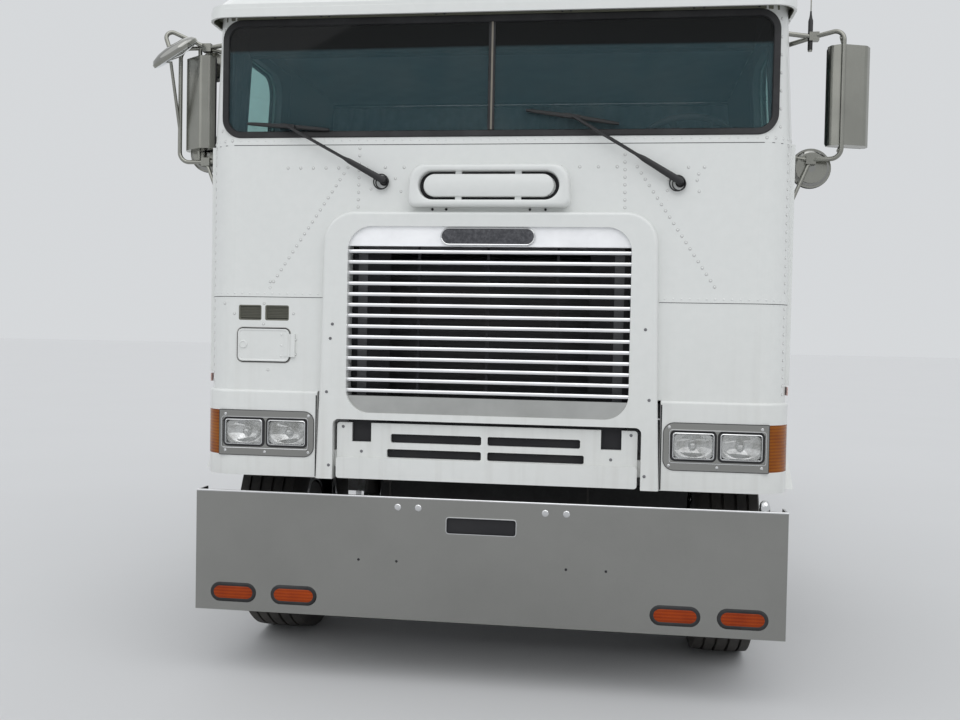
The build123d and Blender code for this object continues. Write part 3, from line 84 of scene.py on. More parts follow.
class Wire:
    """A shader socket's output in a sum. Each operator or function adds a Math node to its finish.

    Over holds a value at a floor, part is what is left above its whole number, size drops its sign."""

    __add__ = __radd__ = math_node("ADD")
    __sub__ = math_node("SUBTRACT")
    __rsub__ = math_node("SUBTRACT", swapped=True)
    __mul__ = __rmul__ = math_node("MULTIPLY")
    __gt__ = math_node("GREATER_THAN")
    __lt__ = math_node("LESS_THAN")
    over = math_node("MAXIMUM")
    wave = math_node("SINE")
    root = math_node("SQRT")
    part = math_node("FRACT")
    size = math_node("ABSOLUTE")

    def __init__(self, finish, socket):
        self.finish = finish
        self.socket = socket

    def fit(self, low, high, first=0.0, last=1.0):
        """This value, carried from low..high to first..last and held there."""
        return self.finish.add("ShaderNodeMapRange", {"clamp": True},
                               {"Value": self, "From Min": low, "From Max": high,
                                "To Min": first, "To Max": last})


class Finish:
    """One material under construction: a Principled shader and what varies over the surface."""

    def __init__(self, name, **fixed):
        self.material = bpy.data.materials.new(name)
        self.material.use_nodes = True
        self.tree = self.material.node_tree
        self.shader = self.tree.nodes["Principled BSDF"]
        for socket, value in fixed.items():
            self.shader.inputs[socket.replace("_", " ")].default_value = value
        self.places = self.tree.nodes.new("ShaderNodeTexCoord")

    def add(self, kind, settings=None, inputs=None, output=0):
        """A node of one type: its settings first, then the values or links of its sockets."""
        node = self.tree.nodes.new(kind)
        for key, value in (settings or {}).items():
            setattr(node, key, value)
        for key, value in (inputs or {}).items():
            if isinstance(value, Wire):
                self.tree.links.new(value.socket, node.inputs[key])
            else:
                node.inputs[key].default_value = value
        return Wire(self, node.outputs[output])

    def where(self):
        """Place on the piece, in metres."""
        return Wire(self, self.places.outputs["Object"])

    def facing(self, axis):
        """How far the surface faces along one axis, from -1 to 1."""
        return self.split(Wire(self, self.places.outputs["Normal"]), axis)

    def split(self, vector, axis):
        """One coordinate of a vector."""
        return self.add("ShaderNodeSeparateXYZ", None, {0: vector}, axis)

    def at(self, axis):
        """Place along one axis, in metres."""
        return self.split(self.where(), axis)

    def stretched(self, x, y, z):
        """The place on the piece with each axis scaled by its own number."""
        return self.add("ShaderNodeVectorMath", {"operation": "MULTIPLY"}, {0: self.where(), 1: (x, y, z)})

    def noise(self, scale, detail=3.0, roughness=0.5, vector=None):
        """Soft noise over the place, or over a vector of its own."""
        values = {"Vector": vector or self.where(), "Scale": scale, "Detail": detail, "Roughness": roughness}
        return self.add("ShaderNodeTexNoise", None, values)

    def mix(self, first, second, share):
        """Colour between two colours."""
        colours = [(*c, 1.0) if isinstance(c, tuple) else c for c in (first, second)]
        return self.add("ShaderNodeMix", {"data_type": "RGBA"}, {0: share, 6: colours[0], 7: colours[1]}, 2)

    def set(self, socket, value):
        if isinstance(value, Wire):
            self.tree.links.new(value.socket, self.shader.inputs[socket])
        else:
            self.shader.inputs[socket].default_value = value

    def done(self, colour, rough, height=None, strength=0.0, distance=0.0):
        """The material, once it has its colour, roughness and relief."""
        self.set("Base Color", colour)
        self.set("Roughness", rough)
        if height:
            relief = {"Height": height, "Strength": strength, "Distance": distance}
            self.set("Normal", self.add("ShaderNodeBump", None, relief))
        return self.material


# Finishes


def shell_inside(paint):
    """1 on the cab shell's inner faces: 20 mm or more below the outside of face, corners, sides and back."""
    rise = paint.at(2).fit(BELT_Z, CAB_TOP)
    radius = rise * (TOP_CORNER_R - CORNER_R) + CORNER_R
    flat = rise * (TOP_HALF - CAB_HALF) + CAB_HALF - radius
    aside = (paint.at(0).size() - flat).over(0.0)
    ahead = (radius + FACE_Y - paint.at(1)).over(0.0)
    depth = radius - (aside * aside + ahead * ahead).root()
    return (depth > SHELL_SKIN) * (paint.at(1) < BACK_Y - SHELL_SKIN)


def under_brow(paint):
    """1 on the roof lip's inner side and underside, 11 mm or more inside its rounded outline: where the
    painted shade goes.
    """
    aside = (paint.at(0).size() - (BROW_HALF - BROW_R)).over(0.0)
    ahead = (FRONT_Y + BROW_S + BROW_R - paint.at(1)).over(0.0)
    depth = BROW_R - (aside * aside + ahead * ahead).root()
    return (depth > BROW_SKIN) * (paint.at(2) < CAB_TOP + 0.0006)


def white_paint(name, lined=False, brow=False):
    """Gloss white coach paint with faint chalking, road dust low down and a slight wave in the sheet.

    Where lined, the inner faces of the cab shell carry a dull blue-grey lining instead. With a brow,
    the roof lip's underside carries a dull olive painted shade."""
    paint = Finish(name, Coat_Roughness=0.12, Specular_IOR_Level=0.5)
    cloud = paint.noise(1.6, 4.0)
    grain = paint.noise(24.0, 5.0, 0.6)
    streak = paint.noise(1.0, 3.0, 0.5, paint.stretched(26.0, 26.0, 1.2))
    low = paint.at(2).fit(1.7, 0.8)
    dust = (cloud.fit(0.35, 0.75) * 0.35 + streak.fit(0.5, 0.8) * 0.5 + 0.1) * low * 0.5
    base = paint.mix((0.78, 0.79, 0.77), (0.72, 0.735, 0.715), grain.fit(0.35, 0.7) * 0.4 + cloud * 0.25)
    base = paint.mix(base, (0.46, 0.44, 0.40), dust)
    rough = grain * 0.12 + dust * 0.3 + 0.24
    coat = 0.35 - dust * 0.3
    if lined:
        inside = shell_inside(paint)
        base = paint.mix(base, (0.115, 0.130, 0.140), inside)
        rough = rough + inside * 0.4
        coat = coat * (1.0 - inside)
    if brow:
        # Painted shade: the white lip's underside is coloured dull olive where it lies in shade.
        shaded = under_brow(paint)
        base = paint.mix(base, (0.085, 0.086, 0.062), shaded)
        coat = coat * (1.0 - shaded)
    paint.set("Coat Weight", coat)
    return paint.done(base, rough, cloud * 0.8 + grain * 0.02, 0.22, 0.004)


def wheel_white():
    """White wheel paint with brake dust round the nuts and a grimy rim."""
    paint = Finish("wheel_paint", Coat_Roughness=0.2)
    cloud = paint.noise(9.0, 5.0, 0.6)
    speck = paint.noise(60.0, 3.0, 0.7)
    dust = cloud.fit(0.42, 0.72) * 0.5 + speck.fit(0.6, 0.75) * 0.25
    colour = paint.mix((0.70, 0.70, 0.68), (0.22, 0.19, 0.16), dust)
    return paint.done(colour, dust * 0.4 + 0.32, speck, 0.12, 0.0008)


def dull_coat(name, colour, worn, roughness, scale=40.0):
    """Dull coat or plastic with worn patches and a fine grain."""
    coat = Finish(name)
    cloud = coat.noise(5.0, 5.0, 0.6)
    grain = coat.noise(scale, 4.0, 0.65)
    colour = coat.mix(colour, worn, cloud.fit(0.4, 0.75) * 0.7 + grain * 0.15)
    return coat.done(colour, grain * 0.15 + roughness, grain, 0.2, 0.0008)


def chassis_black():
    """Satin black chassis paint under a film of pale road dust that lies on the upper faces."""
    paint = Finish("chassis_black")
    cloud = paint.noise(7.0, 5.0, 0.6)
    speck = paint.noise(85.0, 4.0, 0.7)
    dust = paint.facing(2).fit(-0.2, 1.0, 0.12, 0.55) * cloud.fit(0.3, 0.7)
    base = paint.mix((0.022, 0.022, 0.023), (0.055, 0.045, 0.036), speck.fit(0.5, 0.75))
    colour = paint.mix(base, (0.21, 0.19, 0.165), dust)
    return paint.done(colour, cloud * 0.25 + dust * 0.3 + 0.38, speck * 0.6 + cloud * 0.4, 0.25, 0.0012)


def plating(name, colour, roughness, film):
    """Bright metal with water spots and a thin road film."""
    metal = Finish(name, Metallic=1.0)
    smear = metal.noise(3.0, 5.0, 0.6)
    spot = metal.noise(120.0, 3.0, 0.7)
    haze = smear.fit(0.4, 0.75) * 0.7 + spot.fit(0.58, 0.72) * 0.3
    dull = tuple(c * 0.72 for c in colour)
    colour = metal.mix(colour, dull, haze * film)
    return metal.done(colour, haze * film * 0.35 + roughness, smear, 0.04, 0.002)


def brushed(name, colour, roughness, axis):
    """Aluminium or stainless sheet with fine lines along one axis."""
    metal = Finish(name, Metallic=1.0)
    scale = [900.0, 900.0, 900.0]
    scale[axis] = 14.0
    lines = metal.noise(1.0, 2.0, 0.5, metal.stretched(*scale))
    smear = metal.noise(4.0, 5.0, 0.6)
    colour = metal.mix(colour, tuple(c * 0.8 for c in colour), smear.fit(0.4, 0.8))
    return metal.done(colour, lines * 0.10 + smear * 0.08 + roughness, lines, 0.06, 0.0004)


def tread_plate():
    """Bright aluminium tread plate: short raised bars, each at right angles to its neighbours."""
    metal = Finish("tread_plate", Metallic=1.0)
    cell = 1.0 / 0.024
    across = metal.at(0) * cell
    along = metal.at(1) * cell
    row = (across - across.part()) + (along - along.part())
    odd = (row * 0.5).part() > 0.25
    u = across.part() - 0.5
    v = along.part() - 0.5
    lean = odd * 2.0 - 1.0
    length = (u + v * lean) * 0.707
    width = (u * lean - v) * 0.707
    bar = (length * length * 6.5 + width * width * 75.0).fit(1.0, 0.35)
    scuff = metal.noise(30.0, 5.0, 0.65)
    colour = metal.mix((0.60, 0.61, 0.62), (0.30, 0.29, 0.27), scuff.fit(0.45, 0.75) * (1.0 - bar))
    return metal.done(colour, scuff * 0.25 + 0.22, bar, 0.8, 0.0018)


def lens(name, colour, deep):
    """Moulded lamp lens with level ribs and finer upright flutes."""
    plastic = Finish(name, IOR=1.49, Specular_IOR_Level=0.22)
    flutes = ((plastic.at(0) + plastic.at(1)) * 700.0).wave() * 0.5 + 0.5
    ribs = (plastic.at(2) * 480.0).wave() * 0.5 + 0.5
    glow = plastic.noise(9.0, 2.0)
    colour = plastic.mix(colour, deep, ribs * 0.45 + glow.fit(0.35, 0.65) * 0.45)
    return plastic.done(colour, ribs * 0.08 + 0.12, flutes * 0.35 + ribs, 0.5, 0.0015)


def lamp_glass():
    """Clear pressed glass with soft flutes, seen over its bright bowl."""
    glass = Finish("lamp_glass", IOR=1.45)
    flutes = (glass.at(0) * 520.0).wave()
    smear = glass.noise(30.0, 3.0)
    glass.set("Alpha", smear.fit(0.3, 0.7) * 0.18 + 0.12)
    colour = glass.mix((0.62, 0.63, 0.60), (0.34, 0.34, 0.31), smear.fit(0.4, 0.62))
    return glass.done(colour, smear * 0.05 + 0.02, flutes, 0.10, 0.0008)


def windshield_glass():
    """Front panes: a blue-grey haze over clear glass, partly a dust film and partly painted reflection, and a
    dark band of painted shade along the top.
    """
    glass = Finish("windshield_glass", IOR=1.33)
    film = glass.noise(5.0, 5.0, 0.65)
    # Painted shade: a dark, less clear band along the top stands in for the dark header seen through the
    # glass.
    painted_shade_band = (glass.at(2) + glass.at(0).size() * 0.004).fit(2.632, 2.650)
    # The blue-grey haze is partly a dust film and partly painted reflection.
    haze = glass.mix((0.078, 0.150, 0.172), (0.105, 0.165, 0.178), film.fit(0.4, 0.75))
    glass.set("Alpha", film.fit(0.4, 0.8) * 0.03 + 0.19 + painted_shade_band * 0.45)
    return glass.done(glass.mix(haze, (0.004, 0.005, 0.005), painted_shade_band), film.fit(0.5, 0.8) * 0.04 + 0.01)


def window_glass():
    """Side window glass with a light blue-green tint and a little dust."""
    glass = Finish("window_glass", Transmission_Weight=0.97, IOR=1.16)
    film = glass.noise(5.0, 5.0, 0.65)
    tint = glass.mix((0.42, 0.70, 0.66), (0.38, 0.62, 0.585), film.fit(0.4, 0.75))
    return glass.done(tint, film.fit(0.5, 0.8) * 0.04 + 0.005)


def rubber(name, colour, roughness, scale):
    """Black rubber with grey bloom."""
    black = Finish(name, Specular_IOR_Level=0.35)
    cloud = black.noise(6.0, 5.0, 0.6)
    grain = black.noise(scale, 4.0, 0.7)
    bloom = cloud.fit(0.4, 0.75) * 0.6 + grain.fit(0.5, 0.8) * 0.3
    colour = black.mix(colour, tuple(c * 2.6 + 0.015 for c in colour), bloom)
    return black.done(colour, bloom * 0.2 + roughness, grain, 0.3, 0.0008)


def tyre_rubber():
    """Tyre rubber with dust in the tread, scuffed shoulders and fine moulded rings on the walls."""
    black = Finish("tyre_rubber", Specular_IOR_Level=0.3)
    cloud = black.noise(5.0, 5.0, 0.65)
    grain = black.noise(180.0, 4.0, 0.7)
    wall = black.facing(0).size().fit(0.75, 0.95)
    reach = black.noise(1.0, 2.0, 0.5, black.stretched(0.0, 8.0, 8.0))
    dust = cloud.fit(0.35, 0.7) * 0.55 + grain.fit(0.5, 0.75) * 0.25 + reach * 0.15
    colour = black.mix((0.020, 0.020, 0.021), (0.115, 0.105, 0.092), dust)
    return black.done(colour, dust * 0.2 + 0.62 - wall * 0.08, grain * 0.8 + cloud * 0.2, 0.35, 0.0010)


def casting():
    """Painted iron castings with oil film and dust."""
    iron = Finish("casting_grey")
    cloud = iron.noise(5.0, 5.0, 0.6)
    grain = iron.noise(140.0, 4.0, 0.7)
    oil = cloud.fit(0.52, 0.68)
    colour = iron.mix((0.17, 0.17, 0.18), (0.045, 0.038, 0.032), oil * 0.8 + grain * 0.1)
    return iron.done(colour, 0.68 - oil * 0.3, grain, 0.4, 0.0012)


def greased_steel():
    """Worn plate steel with smears of black grease."""
    steel = Finish("greased_steel")
    cloud = steel.noise(6.0, 5.0, 0.65)
    scratch = steel.noise(1.0, 3.0, 0.6, steel.stretched(220.0, 9.0, 60.0))
    grease = cloud.fit(0.44, 0.56)
    steel.set("Metallic", 0.85 - grease * 0.8)
    worn = steel.mix((0.34, 0.32, 0.30), (0.20, 0.18, 0.16), scratch)
    colour = steel.mix(worn, (0.028, 0.024, 0.020), grease)
    return steel.done(colour, scratch * 0.2 + 0.34 - grease * 0.1, scratch * 0.4 + grease, 0.3, 0.0015)


def radiator_core():
    """Matt black core: fine upright fins crossed by tubes."""
    core = Finish("radiator_core")
    fins = (core.at(0) * 1500.0).wave() * 0.5 + 0.5
    tubes = (core.at(2) * 330.0).wave() > 0.2
    dust = core.noise(8.0, 5.0, 0.6)
    colour = core.mix((0.010, 0.010, 0.012), (0.050, 0.048, 0.048), fins * 0.5 + tubes * 0.35 * dust)
    return core.done(colour, dust * 0.2 + 0.6, fins * 0.6 + tubes * 0.6, 0.6, 0.002)


def moulded(name, colour, roughness=0.5):
    """Grained interior plastic."""
    plastic = Finish(name)
    grain = plastic.noise(260.0, 4.0, 0.6)
    cloud = plastic.noise(4.0, 4.0)
    colour = plastic.mix(colour, tuple(c * 1.7 for c in colour), cloud * 0.3 + grain * 0.2)
    return plastic.done(colour, grain * 0.2 + roughness, grain, 0.25, 0.0006)


def seat_cloth(name, colour):
    """Woven seat cloth: crossed threads with a soft mottle."""
    cloth = Finish(name, Sheen_Weight=0.35, Sheen_Roughness=0.6)
    warp = (cloth.at(0) * 1500.0).wave()
    weft = ((cloth.at(1) + cloth.at(2)) * 1500.0).wave()
    mottle = cloth.noise(14.0, 5.0, 0.6)
    colour = cloth.mix(colour, tuple(c * 0.55 for c in colour), mottle.fit(0.3, 0.75) * 0.7)
    return cloth.done(colour, mottle * 0.1 + 0.82, warp * weft + mottle * 0.4, 0.4, 0.0010)


def dark_field():
    """Dull dark enamel inside a badge rim."""
    enamel = Finish("dark_enamel")
    grain = enamel.noise(90.0, 4.0, 0.6)
    colour = enamel.mix((0.035, 0.036, 0.042), (0.10, 0.10, 0.11), grain.fit(0.4, 0.75))
    return enamel.done(colour, grain * 0.2 + 0.35, grain, 0.15, 0.0005)


CAB_WHITE = white_paint("cab_white")
SHELL_WHITE = white_paint("cab_shell_white", lined=True)
ROOF_WHITE = white_paint("cab_roof_white", brow=True)
WHEEL_WHITE = wheel_white()
CHASSIS_BLACK = chassis_black()
CHROME = plating("bright_plating", (0.66, 0.665, 0.67), 0.045, 0.5)
# Plating darkened as a painted reflection of the dark ground, for the bumper, the brightwork and the mirror
# backs.
PLATING_PAINTED_REFLECTION = plating("plating_painted_reflection", (0.31, 0.31, 0.295), 0.05, 0.4)
POLISHED = brushed("polished_aluminium", (0.90, 0.905, 0.92), 0.22, 0)
BRIGHT_PLATE = brushed("bright_plate", (0.97, 0.975, 0.99), 0.50, 0)
SILL_METAL = brushed("sill_aluminium", (0.50, 0.505, 0.49), 0.26, 0)
TANK_METAL = brushed("tank_aluminium", (0.70, 0.71, 0.72), 0.18, 1)
# Stainless darkened and browned as a painted reflection.
STAINLESS_PAINTED_REFLECTION = brushed("stainless_painted_reflection", (0.31, 0.31, 0.28), 0.14, 2)
TREAD = tread_plate()
AMBER = lens("amber_lens", (0.36, 0.052, 0.003), (0.20, 0.020, 0.002))
TURN_AMBER = lens("turn_lens", (0.34, 0.105, 0.004), (0.17, 0.034, 0.003))
RED = lens("red_lens", (0.50, 0.012, 0.012), (0.22, 0.004, 0.004))
PALE_LENS = lens("pale_lens", (0.62, 0.45, 0.42), (0.50, 0.34, 0.31))
LAMP_GLASS = lamp_glass()
GLASS = window_glass()
FRONT_GLASS = windshield_glass()
SEAL = rubber("seal_rubber", (0.014, 0.014, 0.015), 0.48, 120.0)
FLAP = rubber("flap_rubber", (0.020, 0.020, 0.020), 0.62, 60.0)
TYRE = tyre_rubber()
IRON = casting()
GREASED = greased_steel()
CORE = radiator_core()
TRIM = moulded("trim_black", (0.012, 0.012, 0.013), 0.38)
DASH = moulded("dash_plastic", (0.050, 0.050, 0.052))
FLOOR_GREY = moulded("floor_paint", (0.10, 0.10, 0.105), 0.6)
CLOTH = seat_cloth("seat_cloth", (0.17, 0.15, 0.14))
BUNK_CLOTH = seat_cloth("bunk_cloth", (0.24, 0.22, 0.20))
CURTAIN_CLOTH = seat_cloth("curtain_cloth", (0.34, 0.42, 0.46))
ENAMEL = dark_field()
# Light grey for the access door's joint line, and for painted shade round the rivets' feet.
GRIME_AND_SHADE = dull_coat("joint_grime_and_painted_shade", (0.42, 0.415, 0.40), (0.30, 0.29, 0.27), 0.75)
# Near black for dark joints and small dark parts, and painted shade in holes, slots, pockets and gaps.
DARK_PART_AND_SHADE = dull_coat("dark_part_and_painted_shade", (0.010, 0.010, 0.013), (0.024, 0.023, 0.024), 0.7)
OLIVE = dull_coat("vent_olive", (0.150, 0.150, 0.120), (0.20, 0.195, 0.165), 0.5, 90.0)
# Dull olive painted shade for the strip and the panel under the roof's lip.
BROW_PAINTED_SHADE = dull_coat("brow_painted_shade", (0.175, 0.178, 0.135), (0.12, 0.12, 0.095), 0.6, 30.0)
LINING = dull_coat("cab_lining", (0.22, 0.25, 0.275), (0.18, 0.205, 0.225), 0.8, 120.0)
HEADER = dull_coat("header_black", (0.006, 0.006, 0.006), (0.012, 0.011, 0.010), 0.85, 9.0)
STRIP_GREY = dull_coat("divider_grey", (0.23, 0.205, 0.165), (0.15, 0.14, 0.12), 0.5)
SILVERED = plating("mirror_silver", (0.84, 0.86, 0.87), 0.015, 0.15)

# Finish of each material slot, for the solids that keep their own shape
SLOT_FINISH = {
    "cab_paint": CAB_WHITE, "frame_black": CHASSIS_BLACK, "tread_plate": TREAD, "amber_lens": AMBER,
    "red_lens": RED, "floor_grey": FLOOR_GREY, "dash_plastic": DASH, "engine_grey": IRON, "chrome": CHROME,
    "fifth_steel": GREASED, "polished_aluminium": POLISHED, "lamp_glass": LAMP_GLASS,
    "stainless": STAINLESS_PAINTED_REFLECTION, "flap_rubber": FLAP, "radiator_black": CORE, "seat_cloth": CLOTH,
    "rod_chrome": CHROME, "tyre": TYRE, "wheel_white": WHEEL_WHITE, "glass": GLASS, "seal_rubber": SEAL,
    "trim_black": TRIM,
}
# Solids whose finish differs from their slot's usual one
NODE_FINISH = {
    "fuel_tanks": TANK_METAL, "front_bumper": PLATING_PAINTED_REFLECTION, "cab_brightwork": PLATING_PAINTED_REFLECTION,
    "turn_lamps": TURN_AMBER, "cab_front": SHELL_WHITE, "cab_sides": SHELL_WHITE, "cab_back": SHELL_WHITE,
    "cab_roof": ROOF_WHITE, "door_left": SHELL_WHITE, "door_right": SHELL_WHITE,
}
# Slot of each finish, also of the finishes used by the pieces made here
SLOT_OF = {finish.name: slot for slot, finish in reversed(SLOT_FINISH.items())}
MORE_OF_SLOT = {
    "trim_black": (DARK_PART_AND_SHADE, STRIP_GREY, ENAMEL, OLIVE, HEADER), "cab_paint": (GRIME_AND_SHADE, BROW_PAINTED_SHADE),
    "polished_aluminium": (BRIGHT_PLATE, SILL_METAL, TANK_METAL), "chrome": (SILVERED, PLATING_PAINTED_REFLECTION),
    "seat_cloth": (CURTAIN_CLOTH, BUNK_CLOTH), "red_lens": (PALE_LENS,), "glass": (FRONT_GLASS,),
    "dash_plastic": (LINING,),
}
SLOT_OF.update({finish.name: slot for slot, group in MORE_OF_SLOT.items() for finish in group})

for part in frame["record"]["subparts"]:
    mesh = frame["nodes"][part["node"]].data
    mesh.materials.clear()
    mesh.materials.append(NODE_FINISH.get(part["node"], SLOT_FINISH[part["material_slot"]]))


# Making meshes


def mm(*rows):
    """Rows of a section, given in millimetres, in metres."""
    return [(first / 1000, second / 1000) for first, second in rows]


def quads(rows, columns, wrap_rows=False, wrap_columns=False):
    """Corner numbers of the quads of a grid whose points run row by row."""
    r = np.arange(rows if wrap_rows else rows - 1)
    c = np.arange(columns if wrap_columns else columns - 1)
    a, b = np.meshgrid(r, c, indexing="ij")
    a2 = (a + 1) % rows
    b2 = (b + 1) % columns
    corners = np.stack([a * columns + b, a * columns + b2, a2 * columns + b2, a2 * columns + b], -1)
    return corners.reshape(-1, 4)


def outwards(mesh, seam=None):
    """Turn the faces outwards, once points within a seam's width of each other are joined."""
    sheet = bmesh.new()
    sheet.from_mesh(mesh)
    if seam:
        bmesh.ops.remove_doubles(sheet, verts=sheet.verts, dist=seam)
    bmesh.ops.recalc_face_normals(sheet, faces=sheet.faces)
    sheet.to_mesh(mesh)
    sheet.free()


def shut(rows, columns, both=True):
    """Faces between rows of closed loops, with the last loop filled and, where both are, the first."""
    faces = quads(rows, columns, wrap_columns=True).tolist()
    ends = [list(range(columns))] if both else []
    return faces + ends + [list(range((rows - 1) * columns, rows * columns))]


def piece(name, points, faces, finish, body="cab", smooth=True):
    """A mesh of points and faces that rides on a body, with outward faces and closed seams."""
    mesh = bpy.data.meshes.new(name)
    rows = faces.tolist() if isinstance(faces, np.ndarray) else faces
    mesh.from_pydata(np.asarray(points, float).reshape(-1, 3).tolist(), [], rows)
    outwards(mesh, 2e-5)
    if smooth:
        mesh.shade_smooth()
    else:
        mesh.shade_flat()
    mesh.materials.append(finish)
    made = bpy.data.objects.new(name, mesh)
    bpy.context.scene.collection.objects.link(made)
    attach(made, body)
    return made


def walled(made, thickness, offset=-1.0):
    """Give an open surface its thickness."""
    wall = made.modifiers.new("wall", "SOLIDIFY")
    wall.thickness = thickness
    wall.offset = offset
    return made


def creased(made, degrees=35.0):
    """Keep edges sharper than an angle crisp."""
    with bpy.context.temp_override(object=made, active_object=made, selected_objects=[made],
                                   selected_editable_objects=[made]):
        bpy.ops.object.shade_smooth_by_angle(angle=math.radians(degrees), keep_sharp_edges=True)
    return made


def many(points, faces, places, turns=None):
    """Points and faces of one copy of a small shape at each place, each turned by its own matrix."""
    points = np.asarray(points, float)
    places = np.asarray(places, float).reshape(-1, 3)
    if turns is None:
        turns = np.eye(3)[None]
    copies = np.einsum("nij,pj->npi", np.broadcast_to(turns, (len(places), 3, 3)), points)
    copies = copies + places[:, None, :]
    shift = len(points) * np.arange(len(places))
    rows = []
    for size in sorted({len(face) for face in faces}):
        same = np.array([face for face in faces if len(face) == size])
        rows += (same[None] + shift[:, None, None]).reshape(-1, size).tolist()
    return copies.reshape(-1, 3), rows


def turned_shape(rows, sides):
    """Small turned shape about +Z: rows of (radius, height), closed by a flat top."""
    rows = np.asarray(rows, float)
    circle = round_section(1.0, sides)
    points = np.concatenate([rows[:, None, :1] * circle[None], np.repeat(rows[:, None, 1:], sides, 1)], -1)
    return points.reshape(-1, 3), shut(len(rows), sides, False)


def facing_turn(normals):
    """Matrices that turn +Z to each normal."""
    normals = np.asarray(normals, float).reshape(-1, 3)
    normals = normals / np.linalg.norm(normals, axis=1, keepdims=True)
    helper = np.where(np.abs(normals[:, 2:]) > 0.9, [[1.0, 0.0, 0.0]], [[0.0, 0.0, 1.0]])
    across = np.cross(helper, normals)
    across = across / np.linalg.norm(across, axis=1, keepdims=True)
    return np.stack([across, np.cross(normals, across), normals], -1)


def spaced(start, end, pitch):
    """Points from start to end, about a pitch apart."""
    start = np.asarray(start, float)
    end = np.asarray(end, float)
    count = max(2, int(round(np.linalg.norm(end - start) / pitch)) + 1)
    return start + (end - start) * np.linspace(0, 1, count)[:, None]


def studs(name, rows, sides, places, normals, finish, crisp=None, body="cab"):
    """One small turned shape, rows of (radius, height), standing at each place along its normal."""
    points, faces = turned_shape(rows, sides)
    points, faces = many(points, faces, places, facing_turn(normals))
    made = piece(name, points, faces, finish, body)
    return creased(made, crisp) if crisp else made


def carried(path, normals, section, closed=False, widths=None):
    """Points and faces of a closed section, rows of (aside, out), carried along a path on a surface.

    Aside is square to the path and the surface's normal. Widths scale it point by point, and an open
    path is capped at both ends."""
    path = np.asarray(path, float)
    normals = np.broadcast_to(np.asarray(normals, float), path.shape)
    ahead = np.roll(path, -1, 0) - np.roll(path, 1, 0) if closed else np.gradient(path, axis=0)
    aside = np.cross(normals, ahead)
    aside = aside / np.linalg.norm(aside, axis=1, keepdims=True)
    if widths is not None:
        aside = aside * np.asarray(widths, float)[:, None]
    rows = np.asarray(section, float)
    points = path[None] + rows[:, :1, None] * aside[None] + rows[:, 1:, None] * normals[None]
    count = len(path)
    faces = quads(len(rows), count, wrap_rows=True, wrap_columns=closed).tolist()
    if not closed:
        faces.append([k * count for k in range(len(rows))])
        faces.append([k * count + count - 1 for k in range(len(rows))])
    return points, faces


def band(name, path, normals, section, finish, body="cab", closed=False, widths=None, crisp=40.0):
    """A piece made by carrying a section along a path."""
    points, faces = carried(path, normals, section, closed, widths)
    return creased(piece(name, points, faces, finish, body), crisp)


def mirrored(*rows):
    """Section whose second half mirrors its first."""
    return [*rows, *((-aside, out) for aside, out in reversed(rows))]


def strip(width, high, deep=0.001):
    """Section of a flat strip."""
    return mirrored((-width / 2, -deep), (-width / 2, high))


def round_section(radius, sides=10):
    """Section of a round rod whose middle is on the path."""
    turn = np.arange(sides) * 2 * math.pi / sides
    return np.stack([radius * np.cos(turn), radius * np.sin(turn)], -1)


def smooth_path(points, count):
    """Curve through points by their distance along, with each coordinate a natural run of cubic pieces."""
    points = np.asarray(points, float)
    gaps = np.linalg.norm(np.diff(points, axis=0), axis=1)
    knots = np.concatenate([[0.0], np.cumsum(gaps)])
    slope = np.gradient(points, knots, axis=0)
    t = np.linspace(0.0, knots[-1], count)
    index = np.clip(np.searchsorted(knots, t, side="right") - 1, 0, len(gaps) - 1)
    span = gaps[index][:, None]
    u = ((t - knots[index]) / gaps[index])[:, None]
    first, last = points[index], points[index + 1]
    return ((2 * u ** 3 - 3 * u ** 2 + 1) * first + (u ** 3 - 2 * u ** 2 + u) * span * slope[index]
            + (3 * u ** 2 - 2 * u ** 3) * last + (u ** 3 - u ** 2) * span * slope[index + 1])


def arc(centre, radius, turn, axes=(0, 1), side=1):
    """Points and outward normals of an arc that turns from one axis towards another."""
    outward = np.zeros((len(turn), 3))
    outward[:, axes[0]] = side * np.cos(turn)
    outward[:, axes[1]] = np.sin(turn)
    return np.asarray(centre, float) + radius * outward, outward


def rod(name, path, radius, finish, beside=(1.0, 0.0, 0.0), closed=False, body="cab"):
    """Round rod along a path that is nowhere parallel to one given direction."""
    path = np.asarray(path, float)
    ahead = np.roll(path, -1, 0) - np.roll(path, 1, 0) if closed else np.gradient(path, axis=0)
    normals = np.cross(ahead, np.asarray(beside, float))
    normals = normals / np.linalg.norm(normals, axis=1, keepdims=True)
    return band(name, path, normals, round_section(radius), finish, body, closed=closed)


def box_path(centre, size, radius, steps=8):
    """Points and normals round a flat rectangle, with a radius for each corner from the upper right on."""
    turn = np.radians(np.linspace(0, 90, steps)[None] + np.array([0, 90, 180, 270])[:, None])
    signs = np.array([(1, 1), (-1, 1), (-1, -1), (1, -1)])
    radius = np.broadcast_to(np.asarray(radius, float), 4)
    corner = np.asarray(centre, float) + signs * (np.asarray(size, float) / 2 - radius[:, None])
    normal = np.stack([np.cos(turn), np.sin(turn)], -1)
    flat = corner[:, None] + radius[:, None, None] * normal
    return flat.reshape(-1, 2), normal.reshape(-1, 2)


def grown(size, more):
    """A size with the same amount added both ways."""
    return size[0] + more, size[1] + more


def lifted(flat, depth):
    """Flat front-view points (x, z) at a depth y."""
    return np.stack([flat[..., 0], np.broadcast_to(depth, flat.shape[:-1]), flat[..., 1]], -1)


